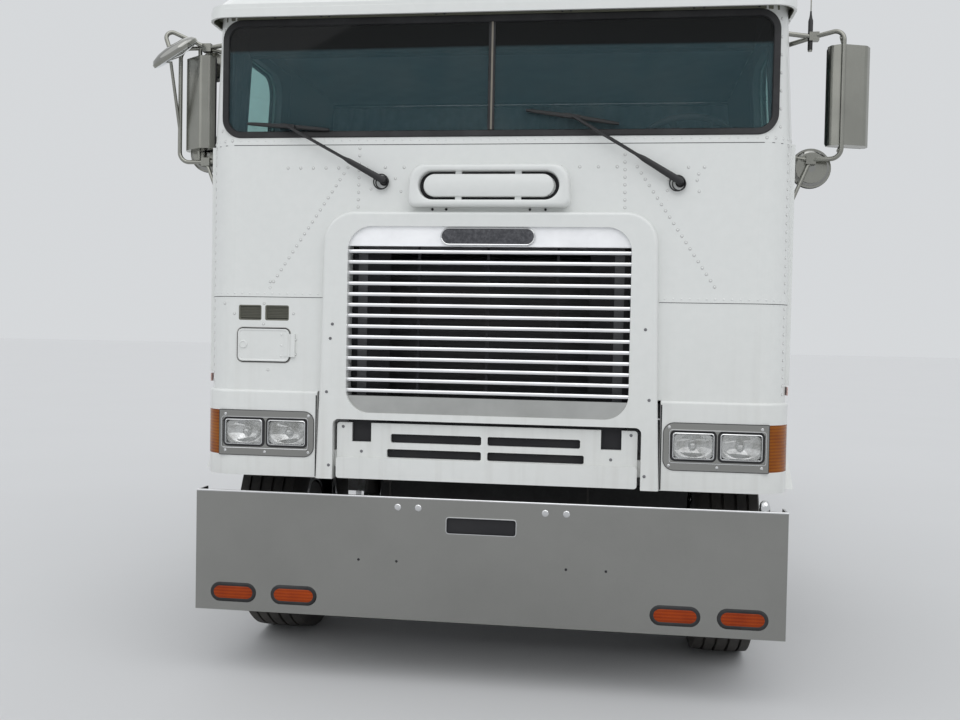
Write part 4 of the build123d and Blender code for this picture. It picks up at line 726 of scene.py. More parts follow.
def ring(name, outline, section, depth, finish, crisp=50.0, body="cab"):
    """A closed section of (out, forwards) rows carried round a front-view outline."""
    flat, normal = outline
    rows = np.asarray(section, float)
    points = lifted(flat[None] + rows[:, :1, None] * normal[None], depth - rows[:, 1:])
    made = piece(name, points, quads(len(rows), len(flat), wrap_rows=True, wrap_columns=True), finish, body)
    return creased(made, crisp)


def slab(name, flat, near, far, finish):
    """Flat front-view outline given thickness between two depths."""
    points = np.stack([lifted(flat, near), lifted(flat, far)])
    return piece(name, points, shut(2, len(flat)), finish, smooth=False)


def capped(name, outline, spine, profile, depth, finish, crisp=40.0, body="cab"):
    """A face over a front-view outline, from rows of (share of the way out from its spine, forwards)."""
    flat, _ = outline
    middle = flat.mean(0)
    centre = middle + (flat - middle) * np.asarray(spine, float)
    rows = np.asarray(profile, float)
    points = lifted(centre[None] + (flat - centre)[None] * rows[:, :1, None], depth - rows[:, 1:])
    made = piece(name, points, quads(len(rows), len(flat), wrap_columns=True), finish, body)
    return creased(made, crisp)


# Places on the cab's outside


def lean(z):
    """How far up the leaning part of the cab a height is: 0 at the belt, 1 at the roof."""
    return np.clip((np.asarray(z, float) - BELT_Z) / (CAB_TOP - BELT_Z), 0.0, 1.0)


def on_face(x, z, proud=0.0):
    """Points on the flat face and its rounded corners: past the flat part, x is measured along the arc."""
    x = np.asarray(x, float)
    z = np.broadcast_to(np.asarray(z, float), x.shape)
    radius = CORNER_R + (TOP_CORNER_R - CORNER_R) * lean(z)
    flat = CAB_HALF + (TOP_HALF - CAB_HALF) * lean(z) - radius
    over = np.clip(np.abs(x) - flat, 0.0, None)
    angle = np.minimum(over / radius, math.pi / 2)
    normal = np.stack([np.sign(x) * np.sin(angle), -np.cos(angle), 0 * x], -1)
    centre = np.stack([np.sign(x) * np.minimum(np.abs(x), flat), FACE_Y + radius, z], -1)
    past_corner = (over - angle * radius)[:, None] * np.array(BACK)
    return centre + normal * (radius + proud)[:, None] + past_corner, normal


def on_side(s, z, side, proud=0.0):
    """Points on a side wall or door, upright to the belt and leaning in above it."""
    s = np.asarray(s, float)
    z = np.broadcast_to(np.asarray(z, float), s.shape)
    tilt = np.where(z > BELT_Z, LEAN, 0.0)
    normal = np.stack([side * np.cos(tilt), 0 * s, np.sin(tilt)], -1)
    half = CAB_HALF + (TOP_HALF - CAB_HALF) * lean(z)
    return np.stack([side * half, FRONT_Y + s, z], -1) + proud * normal, normal


# Rivets

RIVET_R = 0.0054
RIVET_H = 0.0030


def rivets(name, places, normals, body, radius=RIVET_R):
    """Domed heads on a quarter circle, flattened, each with a darker ring round its foot: painted shade with
    some grime.
    """
    up = np.radians([0.0, 35.0, 68.0])
    dome = np.stack([radius * np.cos(up), RIVET_H * radius / RIVET_R * np.sin(up)], -1)
    studs(name, dome, 8, places, normals, CAB_WHITE, body=body)
    foot = [(radius * 1.24, -0.0005), (radius * 1.18, 0.0004), (radius * 0.9, 0.0005)]
    studs(f"{name}_feet", foot, 8, places, normals, GRIME_AND_SHADE, body=body)


def lines_of(rows):
    """Points along rows of (start, start, end, end, pitch) in millimetres, in metres."""
    return np.concatenate([spaced((a, b), (c, d), pitch) for a, b, c, d, pitch in rows]) * MM


# Rivet lines on the face, in millimetres: start x, start z, end x, end z, pitch
FACE_LINES = [
    (-1255, 1618, -722, 1618, 34), (722, 1618, 1255, 1618, 34), (-1255, 2264, 1255, 2264, 37),
    (-600, 2150, -918, 1668, 31), (600, 2150, 918, 1668, 31), (-550, 2230, -554, 1985, 30),
    (550, 2230, 554, 1985, 30), (-860, 2148, -640, 2148, 62), (-520, 2150, -360, 2150, 78),
    (293, 2150, 520, 2150, 76), (-932, 1640, -932, 1668, 28), (-1222, 1240, -1222, 2240, 34),
    (1222, 1240, 1222, 2240, 34), (1166, 2310, 1166, 2740, 72), (-1166, 2310, -1166, 2740, 72),
]
# Single screws on the face, in millimetres: x, z
FACE_SCREWS = [
    (-817, 1422), (-817, 1360), (-1089, 1530), (-828, 1533), (-960, 1487), (-958, 1575), (-1137, 1573),
    (-937, 1292), (725, 2097), (804, 2147), (867, 2147), (845, 2120), (839, 2095), (848, 2050), (722, 2054),
    (714, 2120), (-396, 2104), (-500, 2060), (-372, 2050),
]
rivets("face_rivets", *on_face(*lines_of(FACE_LINES).T), "cab")
rivets("face_screws", *on_face(*np.array(FACE_SCREWS).T * MM), "cab", 0.005)

# Rivet lines on each side wall behind the door, in millimetres: start s, start z, end s, end z, pitch
SIDE_LINES = [
    (958, 1200, 958, 2740, 45), (1060, 1618, 2840, 1618, 45), (1060, 2270, 2840, 2270, 45),
    (1460, 1030, 2840, 1030, 45), (2840, 1060, 2840, 2750, 45), (1920, 1060, 1920, 2740, 60),
    (980, 2752, 2820, 2752, 60), (1080, 1200, 1080, 1590, 60),
]
# The same on each door, clear of its windows
DOOR_LINES = [
    (246, 1215, 246, 2240, 45), (912, 1215, 912, 2240, 45), (270, 1210, 890, 1210, 45),
    (290, 1618, 890, 1618, 45), (270, 1560, 890, 1560, 70), (250, 2252, 905, 2252, 45),
    (905, 2300, 905, 2720, 60),
]
for side_name, door_name, side in SIDES:
    for kind, rows, body in (("side", SIDE_LINES, "cab"), ("door", DOOR_LINES, f"{door_name}_door")):
        rivets(f"{kind}_rivets_{side_name}", *on_side(*lines_of(rows).T, side), body)

# Rivet lines on the back wall, in millimetres: start x, start z, end x, end z, pitch
BACK_LINES = [(-1140, 1030, 1140, 1030, 50), (-1110, 2770, 1110, 2770, 50), (-1140, 1030, -1140, 2240, 50),
              (1140, 1030, 1140, 2240, 50), (-570, 1060, -570, 2740, 55), (0, 1060, 0, 2740, 55),
              (570, 1060, 570, 2740, 55), (-1110, 1900, 1110, 1900, 55)]
rivets("back_rivets", lifted(lines_of(BACK_LINES), BACK_Y), BACK, "cab")

# Seams of the face: start x and end x along the face and its corners, low z, high z
SEAMS = [("left", 0.700, 1.262, 1.604, 1.640), ("right", -1.262, -0.700, 1.604, 1.640),
         ("belt", -1.262, 1.262, 2.246, 2.280)]
for seam_name, x0, x1, low, high in SEAMS:
    across = np.linspace(x0, x1, 61)
    section = [(low, -0.002), (low, 0.0017), (high, 0.0007), (high, -0.002)]
    rows = np.stack([on_face(across, z, out)[0] for z, out in section])
    count = len(across)
    lap = quads(4, count, wrap_rows=True).tolist()
    lap += [[k * count + end for k in range(4)] for end in (0, count - 1)]
    piece(f"seam_{seam_name}", rows, lap, CAB_WHITE, smooth=False)
    path, normals = on_face(across, low - 0.001)
    band(f"seam_shadow_{seam_name}", path, normals, strip(0.0026, 0.0006), DARK_PART_AND_SHADE)


# Tyres: radius at the bead and the shoulder, and the widest place of the wall

BEAD_R, SHOULDER_R = 0.2863, 0.497
WALL_X = 0.1399


def tyre_wall(count):
    """Section of one wall, from the bead out to the shoulder, as a smooth bulge: (x, radius)."""
    t = np.linspace(0, 1, count)
    radius = BEAD_R + (SHOULDER_R - BEAD_R) * t
    x = 0.105 + 0.035 * np.sin(math.pi * t ** 0.85) ** 0.75 * (1 - 0.12 * t) + 0.019 * t ** 3
    rib = 0.0012 * (np.abs(t - 0.82) < 0.03) + 0.0010 * (np.abs(t - 0.30) < 0.02)
    return np.stack([np.minimum(x + rib, WALL_X), radius], -1)


TREAD_HALF = 0.122
GROOVE_DEPTH = 0.013
# Cross grooves: their edges as shares of one cell, the place across where they change over, and their share
# of the round grooves' depth
LUG_EDGES = (0.0, 0.05, 0.27, 0.32, 0.5, 0.55, 0.77, 0.82)
OUTER_RIB_X = 0.066
LUG_DEPTH = 0.9


def tread_section(grooves):
    """Places across the tread, doubled at each groove's edges, with the crown's radius."""
    edges = [(-TREAD_HALF, 0), (TREAD_HALF, 0)]
    for middle, half in grooves:
        edges += [(middle - half - 0.0008, 0), (middle - half + 0.0008, 1),
                  (middle + half - 0.0008, 1), (middle + half + 0.0008, 0)]
    rows = np.array(sorted(edges))
    crown = TYRE_R - 0.006 * (rows[:, 0] / TREAD_HALF) ** 2
    return rows[:, 0], crown, rows[:, 1]


# Grooves round the tread: place across and half width
STEER_GROOVES = mm((-78, 4.5), (-27, 5), (27, 5), (78, 4.5))
DRIVE_GROOVES = mm((-62, 5), (0, 4), (62, 5))


def tyre_surface(centre_x, grooves, cells, lugs):
    """A tyre as radius over turning angle and section: round grooves, and cross grooves that cut the lugs."""
    x, crown, grooved = tread_section(grooves)
    phase = np.array(LUG_EDGES if lugs else (0.0, 0.25, 0.5, 0.75))
    angle = ((np.arange(cells)[:, None] + phase[None]) / cells * 2 * math.pi).ravel()
    place = np.tile(phase, cells)
    outer_cut = lugs * ((place > 0.03) & (place < 0.29))[:, None]
    inner_cut = lugs * ((place > 0.53) & (place < 0.79))[:, None]
    cut = np.where(np.abs(x) > OUTER_RIB_X, outer_cut, inner_cut)
    tread = crown[None] - GROOVE_DEPTH * np.maximum(cut * LUG_DEPTH, grooved[None])
    wall = tyre_wall(11)
    shoulder_notch = outer_cut * 0.006
    wall_radius = np.repeat(wall[None, :, 1], len(angle), 0)
    wall_x = np.repeat(wall[None, :, 0], len(angle), 0)
    wall_x[:, -2:] -= shoulder_notch * np.array([0.6, 1.0])
    inside = np.array([[0.085, 0.2880], [-0.085, 0.2880]])
    xs = np.concatenate([wall_x, np.repeat(x[None, ::-1], len(angle), 0), -wall_x[:, ::-1],
                         np.repeat(inside[None, ::-1, 0], len(angle), 0)], 1)
    rs = np.concatenate([wall_radius, tread[:, ::-1], wall_radius[:, ::-1],
                         np.repeat(inside[None, ::-1, 1], len(angle), 0)], 1)
    points = np.stack([centre_x + xs, rs * np.cos(angle)[:, None], rs * np.sin(angle)[:, None]], -1)
    return points, quads(len(angle), xs.shape[1], wrap_rows=True, wrap_columns=True)


def tyres(name, node, centres, axle_y, grooves, cells, lugs, body):
    """The tyres of one wheel, set in place about its axle."""
    points, faces, count = [], [], 0
    for centre in centres:
        surface, corners = tyre_surface(centre, grooves, cells, lugs)
        points.append(surface.reshape(-1, 3) + np.array([0.0, axle_y, TYRE_R]))
        faces.append(corners + count)
        count += len(points[-1])
    made = piece(name, np.concatenate(points), np.concatenate(faces), TYRE, body)
    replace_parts(creased(made, 40.0), node)


for side_name, _, side in SIDES:
    tyres(f"road_tyre_front_{side_name}", f"tyre_front_{side_name}",
          [side * (FRONT_MOUNT_X - WHEEL_OFFSET)], FRONT_AXLE_Y, STEER_GROOVES, 40, False,
          f"{side_name}_front_wheel")
    for axle, axle_y in zip(("mid", "rear"), REAR_AXLES_Y):
        pair = [side * (DUAL_MOUNT_X - WHEEL_OFFSET), side * (DUAL_MOUNT_X + WHEEL_OFFSET)]
        tyres(f"road_tyres_{axle}_{side_name}", f"tyres_{axle}_{side_name}", pair, axle_y, DRIVE_GROOVES,
              52, True, f"{side_name}_{axle}_wheels")

# Wheel nuts: ten round each hub, with their stud ends

NUT_CIRCLE_R = 0.1429
NUT_ROWS = mm((24, 0), (24, 4), (18.5, 5), (18.5, 24), (15, 28), (10.5, 28), (10.5, 38), (8.5, 40))


def wheel_nuts(name, face_x, axle_y, side, finish, body):
    """Ten flanged nuts on the nut circle, pointing outwards."""
    angle = (np.arange(10) + 0.5) * 2 * math.pi / 10
    places, _ = arc((side * face_x, axle_y, TYRE_R), NUT_CIRCLE_R, angle, (1, 2))
    studs(name, NUT_ROWS, 12, places, (side, 0, 0), finish, 35.0, body)


for side_name, _, side in SIDES:
    wheel_nuts(f"nuts_front_{side_name}", FRONT_MOUNT_X, FRONT_AXLE_Y, side, CHROME,
               f"{side_name}_front_wheel")
    for axle, axle_y in zip(("mid", "rear"), REAR_AXLES_Y):
        wheel_nuts(f"nuts_{axle}_{side_name}", DUAL_MOUNT_X + 0.011, axle_y, side, CHASSIS_BLACK,
                   f"{side_name}_{axle}_wheels")

# Windshield: one curved-corner rubber, a narrow divider with a worn strip, and the two panes behind them

PANE_CENTRE = (0.0, 2.524)
PANE_SIZE = (2.248, 0.442)
PANE_Y = FACE_Y + 0.003
PANE_THICK = 0.005
SEAL_SECTION = mm((0, -34), (0, 0), (3, 4), (24, 6.2), (27.5, 3), (27.5, -0.5), (16, -1), (16, -34))
outline = box_path(PANE_CENTRE, PANE_SIZE, 0.056, 12)
seal = ring("windshield_rubber", outline, SEAL_SECTION, FACE_Y, SEAL, 35.0)
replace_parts(seal, "windshield_seal")
divider = np.array([(0.0, PANE_Y, z) for z in np.linspace(2.304, 2.744, 9)])
DIVIDER_SECTION = mirrored((-0.0135, -0.007), (-0.0135, 0.0035), (-0.010, 0.0060))
band("windshield_divider", divider, AHEAD, DIVIDER_SECTION, SEAL)
band("divider_strip", divider + (0.0015, -0.0058, 0.0), AHEAD, strip(0.0075, 0.0011), STRIP_GREY)
panes = []
for x0, x1 in ((-1.123, -0.012), (0.012, 1.123)):
    radii = (0.055, 0.002, 0.002, 0.055) if x0 > 0 else (0.002, 0.055, 0.055, 0.002)
    flat, _ = box_path(((x0 + x1) / 2, PANE_CENTRE[1]), (x1 - x0, PANE_SIZE[1] - 0.002), radii, 12)
    panes.append(slab(f"windshield_pane_{len(panes) + 1}", flat, PANE_Y, PANE_Y + PANE_THICK, FRONT_GLASS))
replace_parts(panes[0], "windshield_glass")

# Strip of painted shade over the windshield, under the roof's lip, with pairs of small clips
shade_path, normals = on_face(np.linspace(-1.150, 1.150, 61), 2.7855)
band("brow_shade", shade_path, normals, strip(0.0275, 0.0012), BROW_PAINTED_SHADE)
clips = np.array([-0.925, -0.725, -0.690, -0.235, -0.200, 0.285, 0.320, 0.810, 0.850, 1.065])
places, normals = on_face(clips, 2.7830, 0.001)
studs("brow_clips", mm((5.2, 0), (5.2, 3), (3, 4.5)), 10, places, normals, DARK_PART_AND_SHADE)

# Grille: polished top and bottom plates, rows of bright bars, and dark uprights and baffles behind them

GRILLE_Y = FRONT_Y + 0.052
BARS_LOW, BARS_HIGH = 1.195, 1.821
BAR_COUNT = 14
BAR_HALF = 0.5855
GRILLE_Z = 1.513
PLATE_DEPTH = 0.040
opening, _ = box_path((0.0, GRILLE_Z), (1.172, 0.778), 0.100, 12)
upper = opening[opening[:, 1] > BARS_HIGH]
upper = np.concatenate([[(BAR_HALF + 0.0005, BARS_HIGH)], upper, [(-BAR_HALF - 0.0005, BARS_HIGH)]])
lower = opening[opening[:, 1] < BARS_LOW]
lower = np.concatenate([[(-BAR_HALF - 0.0005, BARS_LOW)], lower, [(BAR_HALF + 0.0005, BARS_LOW)]])
top_plate = slab("grille_top_plate", upper, GRILLE_Y, GRILLE_Y + PLATE_DEPTH, BRIGHT_PLATE)
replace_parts(top_plate, "grille")
slab("grille_sill", lower, GRILLE_Y, GRILLE_Y + PLATE_DEPTH, SILL_METAL)
BAR_SECTION = mirrored((-0.0075, -0.032), (-0.0080, -0.006), (-0.0065, -0.001), (-0.003, 0.0010))
bar_z = BARS_LOW + (np.arange(BAR_COUNT) + 0.5) * (BARS_HIGH - BARS_LOW) / BAR_COUNT
bar_path = np.array([(x, FRONT_Y + 0.054, 0.0) for x in np.linspace(-BAR_HALF, BAR_HALF, 7)])
points, faces = carried(bar_path, AHEAD, BAR_SECTION)
places = np.stack([0 * bar_z, 0 * bar_z, bar_z], -1)
points, faces = many(points.reshape(-1, 3), faces, places)
creased(piece("grille_bars", points, faces, POLISHED), 40.0)
upright = strip(0.010, 0.0, 0.012)
for index, x in enumerate((-0.290, 0.0, 0.290)):
    path = np.array([(x, FRONT_Y + 0.086, z) for z in (1.190, 1.510, 1.826)])
    band(f"grille_upright_{index + 1}", path, AHEAD, upright, DARK_PART_AND_SHADE)

radiator_low, radiator_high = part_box("radiator")
core_size = (radiator_high[0] - radiator_low[0] - 0.06, 0.770)
baffle_out = (1.168 - core_size[0]) / 2
baffle = [(-0.030, 0.0), (-0.030, 0.0015), (baffle_out, 0.0015), (baffle_out, 0.0)]
ring("grille_baffle", box_path((0.0, GRILLE_Z), core_size, 0.020), baffle, FRONT_Y + 0.1285, DARK_PART_AND_SHADE)

# Bumper lamps: centre x. Each is a ribbed amber dome in a black rubber ring
BUMPER_LAMPS_X = (-1.052, -0.788, 0.788, 1.052)
BUMPER_LAMP_Z = 0.350
BUMPER_LAMP = (0.184, 0.066)
GROMMET = mm((-9, -4), (-9, 2.2), (-3, 4.5), (4, 3.8), (8, 0), (8, -4))
OVAL_SPINE = (1 - BUMPER_LAMP[1] / BUMPER_LAMP[0], 0.0)
LAMP_DOME = [(1.0, -0.028), (1.0, 0.0), (0.93, 0.0022), (0.7, 0.0034), (0.4, 0.0042), (0.0, 0.0045)]
for index, lamp_x in enumerate(BUMPER_LAMPS_X):
    outline = box_path((lamp_x, BUMPER_LAMP_Z), BUMPER_LAMP, BUMPER_LAMP[1] / 2 - 1e-5, 16)
    ring(f"bumper_grommet_{index + 1}", outline, GROMMET, FRONT_Y + 0.0046, SEAL, body="chassis")
    amber = capped(f"bumper_lens_{index + 1}", outline, OVAL_SPINE, LAMP_DOME, FRONT_Y + 0.0046, AMBER,
                   body="chassis")
    if index == 0:
        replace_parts(amber, "bumper_lamps")

# Badge: a bright rim round a plain dark enamel field
BADGE_Z = 1.862
BADGE = (0.390, 0.072)
BADGE_Y = FRONT_Y + 0.044
BADGE_RIM = mm((-6, -2), (-5, 3), (-2, 4.5), (0, 3), (0, -2))
ring("badge_rim", box_path((0, BADGE_Z), BADGE, BADGE[1] / 2 - 1e-5, 16), BADGE_RIM, BADGE_Y, CHROME)
inner_badge = (BADGE[0] - 0.009, BADGE[1] - 0.009)
BADGE_FIELD = [(1.0, -0.001), (1.0, 0.0012), (0.6, 0.0018), (0.0, 0.0021)]
outline = box_path((0, BADGE_Z), inner_badge, inner_badge[1] / 2 - 1e-5, 16)
capped("badge_field", outline, (1 - inner_badge[1] / inner_badge[0], 0.0), BADGE_FIELD, BADGE_Y, ENAMEL)

# Headlamps: two square lamps on each side, in a bright frame
HEADLAMPS_X = (-1.038, -0.849, 0.849, 1.038)
HEADLAMP_Z = 1.026
HEADLAMP_HALF = (0.0825, 0.0535)
LAMP_FACE_Y = FRONT_Y + 0.066
BEZEL_Y = FRONT_Y + 0.061
RECESS_Y = FRONT_Y + 0.070


def rounded_square(count, power=7.0):
    """Grid of two parameters from -1 to 1, drawn in so that its outline is a rounded square."""
    u, v = np.meshgrid(np.linspace(-1, 1, count), np.linspace(-1, 1, count), indexing="ij")
    reach = np.maximum(np.abs(u), np.abs(v))
    length = (np.abs(u) ** power + np.abs(v) ** power) ** (1 / power)
    scale = np.divide(reach, length, out=np.ones_like(reach), where=length > 1e-9)
    return u * scale, v * scale


def lamp_shell(name, x, half, y_of, finish, thickness):
    """A face over one lamp whose depth is a function of its two parameters."""
    u, v = rounded_square(33)
    points = np.stack([x + half[0] * u, y_of(u, v), HEADLAMP_Z + half[1] * v], -1)
    return walled(piece(name, points, quads(33, 33), finish), thickness, 0.0)


def bowl_depth(u, v):
    """A dish that is deepest in the middle, with an upright block of prisms on each side of it."""
    dish = 0.040 - 0.030 * np.clip(u ** 2 + v ** 2, 0, 1)
    prism = 0.0009 * np.abs(np.sin(u * 26.0)) * (np.abs(u) > 0.55)
    return LAMP_FACE_Y + dish + prism


def glass_depth(u, v):
    """A pane that falls back towards its corners."""
    return LAMP_FACE_Y + 0.006 * (u ** 2 + v ** 2) / 2


RIM_SECTION = mm((0, -38), (0, 3), (-3, 4.5), (-5.5, 0), (-5.5, -38))
GASKET = mm((10, -4), (10, 0.5), (4, 1.5), (0.3, 1), (0.3, -4))
BULB_SHIELD = mm((17, 0), (17, 6), (12, 14), (4, 18))
for index, lamp_x in enumerate(HEADLAMPS_X):
    inner = (HEADLAMP_HALF[0] - 0.005, HEADLAMP_HALF[1] - 0.005)
    glass_face = lamp_shell(f"headlamp_lens_{index + 1}", lamp_x, inner, glass_depth, LAMP_GLASS, 0.003)
    lamp_shell(f"headlamp_bowl_{index + 1}", lamp_x, inner, bowl_depth, CHROME, 0.0015)
    studs(f"headlamp_shield_{index + 1}", BULB_SHIELD, 16, (lamp_x, LAMP_FACE_Y + 0.038, HEADLAMP_Z), AHEAD,
          CHROME, 40.0)
    outline = box_path((lamp_x, HEADLAMP_Z), (2 * HEADLAMP_HALF[0], 2 * HEADLAMP_HALF[1]), 0.012)
    ring(f"headlamp_rim_{index + 1}", outline, RIM_SECTION, LAMP_FACE_Y, CHROME, 40.0)
    ring(f"headlamp_gasket_{index + 1}", outline, GASKET, RECESS_Y, SEAL, 40.0)
    if index == 0:
        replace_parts(glass_face, "headlamps")

# The frame's bright inner edge, its screws, and the rubber round its outside
BEZEL_LIP = mm((-1, -9), (-1, 1.2), (1.5, 1.8), (3, 0), (3, -4))
BEZEL_JOINT = mm((-1, -4), (-1, 1), (2.5, 1), (2.5, -4))
BEZEL_SCREWS = [(752, 945), (752, 1101), (1118, 945), (1118, 1101), (943, 942)]
SCREW_HEAD = mm((6.2, 0), (6.2, 1), (4.5, 2.4), (1.5, 2.8))
for side_name, _, side in SIDES:
    corner_radii = (0.001, 0.042, 0.042, 0.001) if side > 0 else (0.042, 0.001, 0.001, 0.042)
    outline = box_path((side * 0.937, 1.023), (0.414, 0.190), corner_radii)
    ring(f"bezel_joint_{side_name}", outline, BEZEL_JOINT, FRONT_Y + 0.0625, SEAL)
    ring(f"bezel_lip_{side_name}", box_path((side * 0.944, 1.024), (0.380, 0.132), 0.010), BEZEL_LIP,
         BEZEL_Y, CHROME)
    places = lifted(np.array(BEZEL_SCREWS) * MM, BEZEL_Y) * (side, 1, 1)
    studs(f"bezel_screws_{side_name}", SCREW_HEAD, 12, places, AHEAD, CHROME, 30.0)
    joint = np.array([(side * 0.7195, FRONT_Y + 0.0642, z) for z in (0.845, 1.0, 1.19)])
    band(f"surround_joint_{side_name}", joint, AHEAD, strip(0.0055, 0.0006), DARK_PART_AND_SHADE)

# Bumper: carriage bolts, drilled holes, and the folded top edge, in millimetres: x, z
BUMPER_Y = FRONT_Y + 0.005
BUMPER_BOLTS = [(-348, 740), (-262, 740), (262, 740), (348, 740)]
BUMPER_HOLES = [(-511, 515), (-350, 515), (350, 515), (511, 515)]
BOLT_HEAD = mm((14, 0), (14, 1), (11, 3.5), (4, 4.6))
HOLE_FLOOR = mm((5.5, 0), (5.5, 0.3), (2, 0.3))
places = lifted(np.array(BUMPER_BOLTS) * MM, BUMPER_Y)
studs("bumper_bolts", BOLT_HEAD, 16, places, AHEAD, CHROME, 30.0, "chassis")
# The drilled holes are dark discs: painted shade.
places = lifted(np.array(BUMPER_HOLES) * MM, BUMPER_Y)
studs("bumper_holes", HOLE_FLOOR, 16, places, AHEAD, DARK_PART_AND_SHADE, body="chassis")
edge = np.array([(x, BUMPER_Y + 0.003, 0.7790) for x in np.linspace(-1.219, 1.219, 25)])
rod("bumper_top_edge", edge, 0.0046, CHROME, UP, body="chassis")
PLATE_SLOT_LIP = mm((0, -8), (0, 1.2), (3, 1.2), (4, 0), (4, -8))
slot_outline = box_path((0, 0.673), (0.286, 0.064), 0.010)
ring("bumper_slot_lip", slot_outline, PLATE_SLOT_LIP, BUMPER_Y, CHROME, body="chassis")
# Dark floor in the plate slot: painted shade.
SLOT_FLOOR = [(1.0, 0.0), (1.0, 0.0008), (0.0, 0.0008)]
capped("bumper_slot_floor", slot_outline, (0, 0), SLOT_FLOOR, FRONT_Y + 0.0128, DARK_PART_AND_SHADE, body="chassis")

# Grille surround and lower panel: screws, in millimetres: x, z, depth of the face there
PANEL_SCREWS = [
    (-647, 1492, 38), (-655, 1432, 38), (-668, 1208, 38), (668, 1208, 38), (647, 1492, 38), (-655, 900, 38),
    (655, 900, 38), (-520, 960, 62), (520, 960, 62), (-600, 1062, 62), (600, 1062, 62),
]
rows = np.array(PANEL_SCREWS) * MM
places = np.stack([rows[:, 0], FRONT_Y + rows[:, 2], rows[:, 1]], -1)
studs("panel_screws", mm((6.5, 0), (6.5, 0.8), (4.5, 2.4), (1.5, 2.8)), 12, places, AHEAD, IRON, 30.0)

# Black backing seen through the lower panel's slots and square recesses: a sheet of painted shade
shade_backing = np.array([(x, FRONT_Y + 0.0835, z) for z in (0.925, 1.092) for x in (-0.584, 0.584)])
walled(piece("lower_painted_shade", shade_backing, [[0, 1, 3, 2]], DARK_PART_AND_SHADE, smooth=False), 0.002)

# Vent inserts: a frame and rows of louvres in each pocket, in metres: centre, size
VENTS = [((-1.0195, 1.5355), (0.101, 0.065)), ((-0.9005, 1.5355), (0.105, 0.065))]
VENT_Y = FACE_Y + 0.012
VENT_FRAME = mm((0, -1), (0, 9.5), (-4, 10.5), (-6.5, 7), (-6.5, -1))
VENT_FLOOR = [(1.0, 0.0002), (1.0, 0.0006), (0.0, 0.0006)]
for index, (centre, size) in enumerate(VENTS):
    ring(f"vent_frame_{index + 1}", box_path(centre, size, 0.008), VENT_FRAME, VENT_Y, OLIVE)
    slats_z = centre[1] + np.linspace(-0.5, 0.5, 9)[1:-1] * (size[1] - 0.012)
    slat = np.array([(-0.5, -0.0028, -0.001), (0.5, -0.0028, -0.001), (0.5, 0.0028, -0.007),
                     (-0.5, 0.0028, -0.007), (-0.5, 0.0038, -0.006), (0.5, 0.0038, -0.006),
                     (0.5, -0.0018, 0.0), (-0.5, -0.0018, 0.0)])
    slat = np.stack([slat[:, 0] * (size[0] - 0.012), slat[:, 2] * 0.9 - 0.001, slat[:, 1]], -1)
    slat_faces = [[0, 1, 2, 3], [4, 5, 6, 7], [0, 1, 6, 7], [3, 2, 5, 4], [0, 3, 4, 7], [1, 2, 5, 6]]
    points, faces = many(slat, slat_faces, [(centre[0], VENT_Y, z) for z in slats_z])
    piece(f"vent_louvres_{index + 1}", points, faces, OLIVE, smooth=False)
    # Dark floor behind the louvres: painted shade.
    floor_path = box_path(centre, grown(size, -0.004), 0.006)
    capped(f"vent_floor_{index + 1}", floor_path, (0, 0), VENT_FLOOR, VENT_Y, DARK_PART_AND_SHADE)

# Access door: its joint line, raised edge, push latch and rivets
ACCESS_CENTRE = (-0.9575, 1.398)
ACCESS_SIZE = (0.225, 0.138)
joint = lifted(box_path(ACCESS_CENTRE, (0.237, 0.150), 0.026)[0], FACE_Y)
band("access_joint", joint, AHEAD, strip(0.003, 0.0008), GRIME_AND_SHADE, closed=True)
access_y = FRONT_Y + 0.070
lip = mm((0, -2), (0, 1.5), (-2, 2.8), (-6, 2.2), (-9, 0), (-9, -2))
ring("access_edge", box_path(ACCESS_CENTRE, ACCESS_SIZE, 0.020), lip, access_y, CAB_WHITE,
     body="access_flap")
studs("access_latch", mm((17, 0), (17, 2.5), (13.5, 4.5), (12, 2.5), (4, 2)), 24,
      [(-1.046, access_y, 1.400)], AHEAD, CAB_WHITE, 30.0, "access_flap")
pins = np.array([(-0.878, 1.352), (-0.878, 1.398), (-0.878, 1.444)])
studs("access_rivets", mm((5, 0), (4, 2), (1.5, 2.8)), 8, lifted(pins, access_y), AHEAD, CAB_WHITE,
      body="access_flap")

# Scoop: a soft moulding with an oval pocket, its inner panel, painted shade in the black slot round it and
# four small posts

SCOOP_Z = 2.070
SCOOP_BODY = (0.664, 0.176)
SCOOP_SPREAD = 0.155
POCKET = (0.580, 0.119)
INNER = (0.536, 0.092)


def scoop_mesh(name, rows, crisp):
    """Closed loops, rows of (size, corner radii, depth s), spread wider towards the bottom."""
    loops = []
    for size, radii, s in rows:
        flat, _ = box_path((0, SCOOP_Z), size, radii, 12)
        flat[:, 0] *= 1 + SCOOP_SPREAD * (SCOOP_Z - flat[:, 1]) * (size[0] > POCKET[0] + 0.02)
        loops.append(lifted(flat, FRONT_Y + s))
    faces = shut(len(loops), len(loops[0]), False)
    return creased(piece(name, np.stack(loops), faces, CAB_WHITE), crisp)


